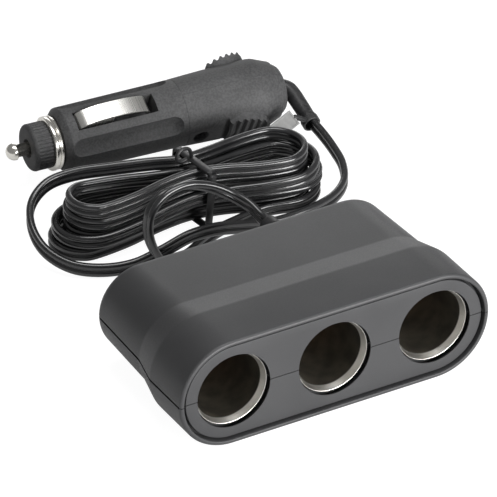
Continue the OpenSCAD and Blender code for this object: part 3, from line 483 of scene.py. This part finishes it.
screw_places = [(s * x, d) for s in (-1, 1) for x, d in ((pitch / 2, 17.9), (pitch, 50.1))]
# Each hole is undercut behind its edge, so that the gap round the sleeve is dark. The seam is cut
# wider behind the groove and through both ends of the rim.
hole = [(-1, 0), (-1, hole_r), (recess + 0.3, hole_r), (recess + 0.45, undercut_r),
        (recess + 2.6, undercut_r), (recess + 2.6, hole_r), (5, hole_r), (5, 0)]
seam_cuts = [((-60, 4.2), (60, 60)), ((-60, 0.7), (-49.8, 4.3)), ((49.8, 0.7), (60, 4.3))]
upper_shell, lower_shell = half_shell("upper_housing", 1), half_shell("lower_housing", -1)
for shell in (upper_shell, lower_shell):
    tools = [turned("hole", hole, into_depth(i * pitch), 128) for i in (-1, 0, 1)]
    tools.append(turned("cord_hole", [(50, 0), (50, 3.3), (60, 3.3), (60, 0)], into_depth(relief_x)))
    for low, high in seam_cuts:
        tools.append(boxed("side_seam", (low[0], front_y + low[1], mid_z - side_seam),
                           (high[0], front_y + high[1], mid_z + side_seam)))
    worked(shell, tools)
wells, bosses = [], []
for x, d in screw_places:
    foot = Matrix.Translation(Vector((x, front_y + d, 0)) * MM) @ Matrix.Rotation(-pi / 2, 4, "Y")
    low, top, shoulder = (1.3 if d < flare_end else 4.3), mid_z - 0.6, mid_z - 3
    wells.append(turned("well", [(-1, 0), (-1, 2.85), (6, 2.85), (6, 0)], foot, 40))
    bosses.append(turned("boss", [(low, 2.6), (low, 3.1), (top, 3.1), (top, 1.5), (shoulder, 1.5),
                                  (shoulder, 2.6), (low, 2.6)], foot, 48))
worked(worked(lower_shell, wells), bosses, "UNION")

housing_plastic, tree, shader = blank("satin_black_abs")
where = tree.node("TexCoord", out=3)
spark = tree.node("TexNoise", Vector=where, Scale=2600.0, Detail=2.0)
cloud = tree.node("TexNoise", Vector=where, Scale=30.0, Detail=3.0)
wire(tree, shader,
     Base_Color=cloud.between(0.3, 0.7).mix((0.045, 0.045, 0.047), (0.057, 0.057, 0.059)),
     Roughness=spark.between(0.3, 0.7) * 0.1 + 0.42,
     Normal=tree.node("Bump", Height=spark, Strength=0.12, Distance=0.00003))
dress(upper_shell, housing_plastic, stands_for=("upper_shell",))
dress(lower_shell, housing_plastic, stands_for=("lower_shell",))


# Housing screws: four cross-head steel screws, driven up from below through the lower shell.
def finish_node(node, material):
    """Gives its finish to a node that is shown as it was built."""
    piece = frame["nodes"][node]
    piece.data.materials.clear()
    piece.data.materials.append(material)


screw_steel = grained("zinc_plated_steel", (0.5, 0.5, 0.52), (0.62, 0.62, 0.63), (0.3, 0.12), 1500.0,
                      Metallic=1.0)
finish_node("housing_screws", screw_steel)


# Socket sleeves: three drawn tubes of nickel-plated brass, with a plain flared mouth that shines
# just inside the panel. Behind the mouth their inner walls carry a painted shade, dark, dull and
# less metallic, and a neck holds the disc behind.
sleeve_profile = [(sleeve_back, 6), (sleeve_back, 11.0), (sleeve_back - 0.3, 11.15),
                  (sleeve_front + 2.1, 11.15),
                  (sleeve_front + 0.2, 11.62), (sleeve_front + 0.06, 11.6), (sleeve_front, 11.54),
                  (sleeve_front + 0.04, 11.46), (sleeve_front + 0.8, 11.2), (sleeve_front + 1.6, 10.88),
                  (sleeve_front + 2, 10.72), (sleeve_front + 2.3, 10.65), (34.1, 10.65),
                  (34.1, 10.4), (sleeve_back - 0.5, 10.4), (sleeve_back - 0.5, 6), (sleeve_back, 6)]
socket_metal, tree, shader = blank("nickelled_brass_sleeve")
where = tree.node("TexCoord", out=3)
# Painted shade: past the mouth the sleeve's colour turns dark, its metal less and its gloss duller,
# where the socket's inside lies in shadow.
inside = tree.node("SeparateXYZ", out=1, Vector=where)
inside = inside.between((front_y + sleeve_front + 1.9) * MM, (front_y + sleeve_front + 2.3) * MM)
stain = tree.node("TexNoise", Vector=where, Scale=220.0, Detail=4.0)
painted_inner_shade = stain.between(0.3, 0.7).mix((0.05, 0.045, 0.036), (0.085, 0.076, 0.058))
bright = stain.between(0.35, 0.8).mix((0.93, 0.91, 0.86), (0.80, 0.77, 0.70))
wire(tree, shader, Base_Color=inside.mix(bright, painted_inner_shade), Metallic=inside * -0.45 + 1.0,
     Roughness=inside * 0.12 + stain.between(0.3, 0.7) * 0.06 + 0.38,
     Normal=tree.node("Bump", Height=stain, Strength=0.05, Distance=0.0001))
for i, place in ((-1, "left"), (0, "middle"), (1, "right")):
    sleeve = turned(f"{place}_sleeve", sleeve_profile, into_depth(i * pitch), 128)
    dress(sleeve, socket_metal, stands_for=(f"socket_sleeve_{place}",))


# Socket bottoms: a disc of brown vulcanised fibre in each sleeve, held by the brass centre
# contact, whose rivet passes through it to the strip that joins all three.
def metal(name, light, dark, roughness, scale=900.0, relief=(0.02, 0.00005)):
    """A plated or drawn metal with fine marks in its colour, its gloss and a little in its relief."""
    return grained(name, light, dark, (roughness, 0.04), scale, 3.0, relief, 0.75, Metallic=1.0)


fibre = grained("vulcanised_fibre", (0.13, 0.055, 0.025), (0.22, 0.11, 0.05), (0.6, 0.15), 1100.0,
                5.0, (0.3, 0.00005))
contact_brass = metal("contact_brass", (0.80, 0.60, 0.27), (0.62, 0.44, 0.18), 0.22)
bare_nickel = metal("bright_nickel", (0.80, 0.78, 0.73), (0.70, 0.68, 0.63), 0.16)
for place in ("left", "middle", "right"):
    finish_node(f"insulator_{place}", fibre)
    finish_node(f"centre_contact_{place}", contact_brass)
finish_node("positive_strip", contact_brass)
finish_node("negative_strip", bare_nickel)


# Inner wires: the red one runs to the contact strip, the black one through the rear rib to the
# strip under the sleeves.
def insulation(name, colour):
    """Soft PVC on a wire, a little uneven in its colour."""
    return grained(name, colour, tuple(0.75 * c for c in colour), (0.35, 0.1), 700.0,
                   relief=(0.1, 0.00003))


finish_node("positive_wire", insulation("red_pvc", (0.45, 0.02, 0.02)))
finish_node("negative_wire", insulation("black_pvc", (0.03, 0.03, 0.032)))


# Strain relief: a ribbed sleeve in soft black PVC, moulded round the cord and held by its collar
# in the housing's back wall.
relief_len, flange_r, hole_in_wall_r, groove_r = 17, 4.9, 3.2, 2.75
relief = [(depth - 3.4, 0), (depth - 3.4, flange_r), (depth - 2.02, flange_r),
          (depth - 2.02, hole_in_wall_r), (depth + 0.02, hole_in_wall_r), (depth + 0.02, 4.7),
          (depth + 0.22, flange_r), (depth + 1.2, flange_r), (depth + 1.5, 4.6)]
for i in range(1, 5):
    at = depth + relief_len * (i + 1) / 7
    r = 4.3 - 0.3 * i
    relief += [(at - 0.15, r + 0.05), (at, r - 0.2), (at + 0.05, groove_r), (at + 0.95, groove_r),
               (at + 1.0, r - 0.3), (at + 1.15, r - 0.1)]
relief += [(depth + relief_len - 0.2, 3.0), (depth + relief_len, 2.8), (depth + relief_len, 0)]
strain_relief = turned("strain_relief_sleeve", relief, into_depth(relief_x), 64)
soft_pvc = grained("soft_black_pvc", (0.016, 0.016, 0.017), (0.028, 0.028, 0.029), (0.36, 0.15), 800.0,
                   3.0, (0.15, 0.00004))
dress(strain_relief, soft_pvc, stands_for=("strain_relief",))


# Plug shells: two halves in matt black nylon that meet along the plug. The barrel has a window
# for each side contact and four long flutes, and the fuller handle has a ribbed thumb pad on
# each side, a flat round the screw's well, and a chamfered end.
plug_at, plug_yaw, plug_roll = Vector((-24.8, 126.5, 12.4)), radians(-5), radians(29)
plug_place = (Matrix.Translation(plug_at * MM) @ Matrix.Rotation(plug_yaw, 4, "Z")
              @ Matrix.Rotation(plug_roll, 4, "X"))
barrel_front, barrel_back, handle_back = 16.35, 56.35, 91.35
window_front, window_back, window_floor = 20.95, 47.35, 4.2
pad_front, pad_back, pad_top = 69.75, 82.75, 13.4
plug_side = [(barrel_front, 5.65), (barrel_front, 8.4), (barrel_front + 0.15, 8.6),
             (barrel_front + 1.6, 10.1), (barrel_front + 2.0, 10.22), (barrel_back - 0.1, 10.5),
             (barrel_back, 10.46), (barrel_back + 0.1, 10.54), (62, 10.75), (68, 10.95), (74, 11.08),
             (79, 11.1), (82.6, 11.08), (83.6, 10.95), (84.4, 10.7), (88.1, 9.2), (88.7, 9.0),
             (88.9, 8.75), (89.0, 8.3), (90.2, 7.7), (90.9, 7.1), (91.25, 6.4), (handle_back, 5.6),
             (handle_back, 3), (88.95, 3), (88.95, 4.5), (86.95, 4.5), (86.95, 2.4), (84.35, 2.4),
             (84.35, 8), (57.35, 8), (57.35, 3.2), (51.3, 3.2), (51.3, 4.25), (50.45, 4.25),
             (50.45, 3.5), (20.6, 3.5), (20.6, 5.65), (19.4, 5.65), (19.4, 6.85), (18.1, 6.85),
             (18.1, 5.65), (barrel_front, 5.65)]


def thumb_pad():
    """Six rounded ribs that rise towards the rear, inside an oval that comes to a point behind."""
    teeth, foot, low, rib_height = 6, 8.8, 10.35, 0.8
    tooth = ((0, 0), (0.12, 0.55), (0.22, 0.78), (0.36, 0.8), (0.5, 0.6), (0.6, 0.08), (0.72, 0))
    crest = []
    for i in range(teeth):
        for share, up in tooth:
            at = (i + share) / teeth
            crest.append((pad_front + (pad_back - pad_front) * at,
                          low + (pad_top - rib_height - low) * at + up))
    crest += [(pad_back, pad_top - 0.75), (pad_back + 0.2, pad_top - 1.2)]
    outline = [(pad_front, foot), *crest, (pad_back + 0.5, foot), (pad_front, foot)]
    ribs = prism("ribs", [(x, y, -7) for x, y in outline], (0, 0, 14))
    half = [(0, 5.2), (2.5, 6.2), (5, 6.7), (7.5, 6.5), (10, 5.6), (12, 4.2), (13.2, 2.4), (13.6, 0)]
    oval = [(pad_front + x, 8, z) for x, z in half]
    oval += [(pad_front + x, 8, -z) for x, z in half[-2::-1]]
    return worked(ribs, [prism("oval", oval + oval[:1], (0, 6, 0))], "INTERSECT")


plug_body = turned("plug_body", plug_side, steps=128)
half_turn = Matrix.Rotation(pi, 4, "X")
pads, cuts = [thumb_pad(), thumb_pad()], []
pads[1].data.transform(half_turn)
for half_way in (0, pi):
    around = Matrix.Rotation(half_way, 4, "X")
    cuts.append(boxed("window", (window_front, -3.2, window_floor), (window_back, 3.2, 14), around))
    cuts.append(boxed("pad_groove", (pad_front - 1.5, 9.2, -6.3), (pad_front - 0.05, 14, 6.3),
                      around, 0.3))
    cuts.append(boxed("flat", (barrel_back + 0.5, 10.05, -8), (pad_front - 0.9, 14, 8), around, 0.2))
flute_r, flute_depth, flute_angles = 3.8, 1.7, (50, 130, 230, 310)
trough = [*arc((barrel_front + 1.2 + flute_r, 0), flute_r, 180, 90, 10),
          *arc((barrel_back - 1.2 - flute_r, 0), flute_r, 90, 0, 10)]
flute_at = Matrix.Translation((0, 0, (10.2 + flute_r - flute_depth) * MM))
for angle in flute_angles:
    cuts.append(turned("flute", trough, Matrix.Rotation(radians(angle), 4, "X") @ flute_at, 48))
plug_body = worked(worked(plug_body, pads, "UNION"), cuts)


def half_of_plug(name, side_way, tools):
    """A copy of the whole body, cut along the plug and drilled for the screw, in its place."""
    half = plug_body.copy()
    half.data = plug_body.data.copy()
    half.name = half.data.name = name
    scene.collection.objects.link(half)
    low, high = sorted((0.03 * side_way, -20 * side_way))
    worked(half, [boxed("other_half", (0, low, -20), (100, high, 20)), *tools])
    half.data.transform(plug_place)
    return half


screw_x = 60.95
across = Matrix.Translation((screw_x * MM, 0, 0)) @ Matrix.Rotation(-pi / 2, 4, "Z")
well = [(-1, 0), (-1, 1.6), (6.4, 1.6), (6.4, 2.4), (9.7, 2.4), (10.4, 2.9), (12, 2.9), (12, 0)]
pilot = [(-8, 0), (-8, 1.3), (1, 1.3), (1, 0)]
plug_front = half_of_plug("plug_shell_near", -1, [turned("well", well, across, 48)])
plug_back = half_of_plug("plug_shell_far", 1, [turned("pilot", pilot, across, 32)])
bpy.data.objects.remove(plug_body)

plug_plastic, tree, shader = blank("matt_black_nylon")
where = tree.node("TexCoord", out=3)
spark = tree.node("TexNoise", Vector=where, Scale=1500.0, Detail=3.0)
cloud = tree.node("TexNoise", Vector=where, Scale=90.0, Detail=4.0)
grain = cloud.between(0.3, 0.75) * 0.4 + spark.between(0.35, 0.65) * 0.6
wire(tree, shader, Base_Color=grain.mix((0.058, 0.058, 0.059), (0.108, 0.108, 0.109)),
     Specular_IOR_Level=0.22, Roughness=spark.between(0.3, 0.7) * 0.12 + 0.5,
     Normal=tree.node("Bump", Height=spark, Strength=0.5, Distance=0.0001))
dress(plug_front, plug_plastic, stands_for=("plug_shell_front",))
dress(plug_back, plug_plastic, stands_for=("plug_shell_back",))
finish_node("plug_screw", screw_steel)


# Nose: a black cap with fine ridges for the fingers, screwed onto the plug's threaded collar, and
# a stepped nickel ring behind it that stops it against the barrel.
cap_side = [(7, 3.1), (7, 6.15), (7.04, 6.5), (7.2, 6.85), (7.5, 7.15), (7.95, 7.36), (8.2, 7.4),
            (8.3, 7.4), (8.35, 7.35), (12.75, 7.35), (12.9, 7.3), (13, 7.0), (13, 5.65), (9.6, 5.65),
            (9.6, 3.45), (8, 3.45), (8, 2.85), (7.2, 2.85), (7, 3.1)]
cap_steps, ridge_steps, ridge_depth = 160, 4, 0.048
nose_cap = turned("nose_cap_ridged", cap_side, steps=cap_steps)
bpy.ops.object.mode_set(mode="EDIT")
bpy.ops.mesh.select_mode(type="VERT")
bpy.ops.mesh.select_all(action="DESELECT")
bpy.ops.object.mode_set(mode="OBJECT")
for corner in nose_cap.data.vertices:
    x, y, z = corner.co / MM
    step = round(atan2(z, y) / (2 * pi) * cap_steps)
    on_side = 8.33 < x < 12.95 and (y * y + z * z) ** 0.5 > 7.2
    corner.select = on_side and step % ridge_steps in (0, 1)
bpy.ops.object.mode_set(mode="EDIT")
bpy.ops.transform.resize(value=(1, 1 - ridge_depth, 1 - ridge_depth), center_override=(0, 0, 0))
bpy.ops.object.mode_set(mode="OBJECT")
bpy.ops.object.shade_smooth_by_angle(angle=radians(25))
nose_cap.data.transform(plug_place)
dress(nose_cap, plug_plastic, "nose_cap", ("nose_cap",))

ring_side = [(13.07, 5.65), (13.07, 7.7), (13.2, 8.2), (13.4, 8.45), (13.65, 8.5), (14.15, 8.5),
             (14.35, 8.42), (14.5, 8.1), (14.75, 8.05), (14.9, 8.25), (15.05, 8.38), (15.6, 8.38),
             (15.8, 8.25), (16.03, 7.9), (16.05, 5.65), (13.07, 5.65)]
nose_ring = turned("stepped_ring", ring_side, plug_place, 96, 40)
nickel_plate = metal("polished_nickel", (0.78, 0.76, 0.71), (0.74, 0.72, 0.67), 0.2, 300.0, None)
dress(nose_ring, nickel_plate, "cap_ring", ("nose_ring",))


# Tip: a nickel-plated brass pin with a round head. The spring and the fuse push it out of the cap.
head_r = 2.7
pin_side = [*arc((head_r, 0), head_r, 180, 90, 16), (2.92, head_r), (3.06, 2.6), (3.1, 2.4),
            (3.12, 2.1), (3.25, 2.0), (8.05, 2.0), (8.05, 3.2), (8.2, 3.3), (9.2, 3.3), (9.35, 3.2),
            (9.35, 0)]
tip_pin = turned("round_tip_pin", pin_side, plug_place, 64, 40)
dress(tip_pin, nickel_plate, "tip", ("tip_pin",))
finish_node("thread_collar", nickel_plate)


# Fuse and spring: a glass tube fuse with nickel cups lies behind the pin, and a steel spring on a
# brass seat presses it forward.
fuse_glass = grained("clear_glass", (0.82, 0.9, 0.88), (0.9, 0.95, 0.94), (0.04, 0.05), 300.0,
                     Alpha=0.35, IOR=1.5)
finish_node("fuse_glass", fuse_glass)
for cup in ("front", "rear"):
    finish_node(f"fuse_cap_{cup}", bare_nickel)
spring_wire = metal("drawn_spring_wire", (0.55, 0.55, 0.56), (0.42, 0.42, 0.43), 0.28)
finish_node("fuse_spring", spring_wire)
finish_node("spring_seat", contact_brass)


# Side contacts: two bowed strips of nickelled spring bronze in the barrel's windows. Both ends
# of each are turned down, and a lug on each of its edges guides it in the shell.
def side_contact(name, turn_round):
    """A strip drawn from its side, widened, given its thickness and its lug."""
    strip_w, sheet_t, strip_len = 5.5, 0.45, 25.9
    bow = [(0, 7.4), (0.004, 8.6), (0.02, 9.6), (0.06, 10.4), (0.12, 11.15), (0.24, 11.95),
           (0.36, 12.25), (0.5, 12.35), (0.63, 12.25), (0.74, 11.9), (0.82, 11.4), (0.875, 10.8),
           (0.9, 10.0), (0.908, 8.9), (0.905, 7.6)]
    line = between_points([(window_front + 0.3 + share * strip_len, 0, z) for share, z in bow], 4)
    strip = traced(name, [(x, -strip_w / 2, z) for x, y, z in line])
    bpy.ops.mesh.extrude_region_move(TRANSFORM_OT_translate={"value": (0, strip_w * MM, 0)})
    bpy.ops.mesh.select_all(action="SELECT")
    bpy.ops.mesh.normals_make_consistent(inside=False)
    bpy.ops.object.mode_set(mode="OBJECT")
    sheet = strip.modifiers.new("sheet", "SOLIDIFY")
    top_face = max(strip.data.polygons, key=lambda face: face.center.z)
    sheet.thickness, sheet.offset = sheet_t * MM, -1 if top_face.normal.z > 0 else 1
    edge = strip.modifiers.new("edge", "BEVEL")
    edge.width, edge.segments, edge.limit_method = 0.09 * MM, 2, "ANGLE"
    for step in ("sheet", "edge"):
        bpy.ops.object.modifier_apply(modifier=step)
    lug_side = [(22.7, 9.9), (23.2, 8.6), (24.4, 8.0), (30.6, 8.0), (31.9, 8.5), (32.5, 9.6),
                (32.7, 11.0), (32.5, 12.0), (28, 11.8), (25, 11.0), (22.7, 9.9)]
    lug_at, lug_t = 2.72, 0.35
    for way in (-1, 1):
        lug = prism("lug", [(x, way * lug_at, z) for x, z in lug_side], (0, way * -lug_t, 0))
        worked(strip, [lug], "UNION")
    bpy.ops.object.shade_smooth_by_angle(angle=radians(22))
    strip.data.transform(plug_place @ Matrix.Rotation(turn_round, 4, "X"))
    return strip


leaf_metal, tree, shader = blank("nickelled_bronze")
where = tree.node("TexCoord", out=3)
plug_way = (plug_place.to_3x3() @ Vector((1, 0, 0)))[:]
along = tree.node("VectorMath", {"operation": "DOT_PRODUCT"}, out=1, _0=where, _1=plug_way)
brush = tree.node("TexNoise", {"noise_dimensions": "1D"}, W=along, Scale=4000.0, Detail=2.0)
wire(tree, shader, Base_Color=brush.between(0.3, 0.7).mix((0.64, 0.63, 0.60), (0.70, 0.69, 0.66)),
     Metallic=1.0, Roughness=brush.between(0.3, 0.7) * 0.05 + 0.27,
     Normal=tree.node("Bump", Height=brush, Strength=0.04, Distance=0.00003))
for level, turn_round in (("upper", 0), ("lower", pi)):
    leaf = side_contact(f"contact_leaf_{level}", turn_round)
    dress(leaf, leaf_metal, f"contact_{level}", (f"side_contact_{level}",))


# Boot: a bent sleeve in soft PVC that takes the cord out of the handle. Its anchor sits between
# the shells, and a thin rim ends it.
boot_path = [(*(plug_place @ Vector((x * MM, 0, 0)) / MM), 0, 0, 1) for x in (87.1, 88.2, 89.5)]
boot_path += [(66.9, 118.4, 12.4, 0, 0, 1), (68.5, 116.9, 12, 0, 0, 1), (68.9, 114.4, 11.2, 0, 0, 1),
              (68.9, 111.4, 10.2, 0, 0, 1), (68.8, 107.8, 9, 0, 0, 1), (*boot_end, 0, 0, 1)]
boot_r = 2.85


def circle(r, steps):
    """A round section for swept."""
    return [(r * cos(2 * pi * k / steps), r * sin(2 * pi * k / steps)) for k in range(steps)]


def boot_taper(share):
    """Wide at its anchor, with a step outside the handle and a rim at its end."""
    if share < 0.08:
        return 1.5
    if share < 0.16:
        return 1.0
    return (1.03 if 0.3 < share < 0.36 or share > 0.95 else 0.98) - 0.13 * share


boot = swept("cord_boot", between_points(boot_path, 12), circle(boot_r, 32), boot_taper,
             ways=(None, boot_way))
dress(boot, soft_pvc, stands_for=("plug_boot",))


# Tag: a bare plate in light grey plastic with a raised edge, on a dark collar round the cord.
tag_right = Vector((62.1, 101.8, 12.0))
tag_turn = (Matrix.Rotation(radians(-7), 4, "Z") @ Matrix.Rotation(radians(-32), 4, "Y")
            @ Matrix.Rotation(radians(52), 4, "X"))
tag_len, tag_low, tag_high, tag_corner, tag_t = 11.2, -2.5, 2.7, 2.5, 1.3
tag_outline = [(0, tag_low), (0, tag_high), (tag_corner - tag_len, tag_high),
               (-tag_len, tag_high - tag_corner), (-tag_len, tag_low), (0, tag_low)]
tag = prism("cord_tag_plate", [(x, y, 0.6) for x, y in tag_outline], (0, 0, -tag_t), 35)
bpy.ops.object.mode_set(mode="EDIT")
bpy.ops.mesh.select_mode(type="FACE")
bpy.ops.mesh.select_all(action="DESELECT")
bpy.ops.object.mode_set(mode="OBJECT")
for face in tag.data.polygons:
    face.select = face.normal.z > 0.9
bpy.ops.object.mode_set(mode="EDIT")
bpy.ops.mesh.inset(thickness=0.5 * MM, depth=0)
bpy.ops.mesh.inset(thickness=0.12 * MM, depth=-0.15 * MM)
closed_up(tag)
edge = tag.modifiers.new("edge", "BEVEL")
edge.width, edge.segments, edge.limit_method = 0.12 * MM, 2, "ANGLE"
bpy.ops.object.modifier_apply(modifier="edge")
tag.data.transform(Matrix.Translation(tag_right * MM) @ tag_turn)
tag_plastic = grained("light_grey_plastic", (0.27, 0.27, 0.265), (0.32, 0.32, 0.315), (0.45, 0.1), 900.0,
                      relief=(0.15, 0.00004))
dress(tag, tag_plastic, stands_for=("cord_tag",))
collar_way = Vector(boot_way).normalized()


def facing(foot, way):
    """The place of a piece made along X that starts at foot and runs along way."""
    return Matrix.Translation(foot * MM) @ way.to_track_quat("X", "Z").to_matrix().to_4x4()


collar_side = [(0.02, 2.3), (0.02, 2.7), (0.15, 2.85), (2.25, 2.85), (2.42, 2.7), (2.42, 2.3),
               (0.02, 2.3)]
collar = turned("tag_collar", collar_side, facing(Vector(boot_end), collar_way), 48)
collar_middle = Vector(boot_end) + 1.2 * collar_way
to_tag = tag_right - collar_middle
arm_r, arm_end = 0.8, to_tag.length + 0.6
arm_side = [(2.5, 0), (2.5, arm_r), (to_tag.length, arm_r), (arm_end, 0.5), (arm_end, 0)]
worked(collar, [turned("tag_arm", arm_side, facing(collar_middle, to_tag), 24)], "UNION")
dress(collar, soft_pvc)


# Tie: a flat plastic-coated wire, once round the hank's waist, with its ends twisted into a
# small open ring.
tie_skew, tie_x = radians(10), 1.6


def loop_round(half, low, high, r):
    """The rounded path of a band round the hank, in its own frame: across, then up."""
    corners = ((half - r, low + r, -90), (half - r, high - r, 0),
               (r - half, high - r, 90), (r - half, low + r, 180))
    return [p for y, z, a in corners for p in arc((y, z), r, a, a + 90, 6)]


def on_hank(x, y, z, *way):
    """A point of the tie in the world, with its width direction."""
    turn_to = Matrix.Rotation(hank_yaw + tie_skew, 3, "Z")
    foot = Vector(to_world((tie_x, 0, 0))[:3])
    return [*(foot + turn_to @ Vector((x, y + waist_layer_lean * z, z))), *(turn_to @ Vector(way))]


tie_top = 20.9
waist_loop = loop_round(9.3, 0.55, tie_top, 1.6)
waist_loop = [on_hank(0, y, z, 1, 0, 0) for y, z in waist_loop + waist_loop[:2]]
flat_section = [(1.35, 0.12), (1.2, 0.3), (-1.2, 0.3), (-1.35, 0.12),
                (-1.35, -0.12), (-1.2, -0.3), (1.2, -0.3), (1.35, -0.12)]
tie = swept("hank_tie_band", between_points(waist_loop, 3), flat_section)
knot = [(0, 1.9, tie_top), (-0.1, 1.9, 22.7), (-1.1, 2, 24.6), (-3.2, 1.9, 25.5), (-5.3, 1.6, 24.7),
        (-5.9, 1.2, 23), (-4.6, 0.9, 21.8), (-2.4, 0.9, 21.9)]
knot = between_points([on_hank(*p, 0, 1, 0.2) for p in knot], 8)
tail_r = 0.6
tail_of_tie = swept("tie_ends", knot, circle(tail_r, 12))
tie_plastic = grained("coated_tie_wire", (0.012, 0.012, 0.013), (0.022, 0.022, 0.023), (0.3, 0.15),
                      1200.0, 3.0, (0.2, 0.00004))
dress(tie, tie_plastic, stands_for=("hank_tie",))
dress(tail_of_tie, tie_plastic)
[[x * MM for x in p[:3]] for p in cord_path]
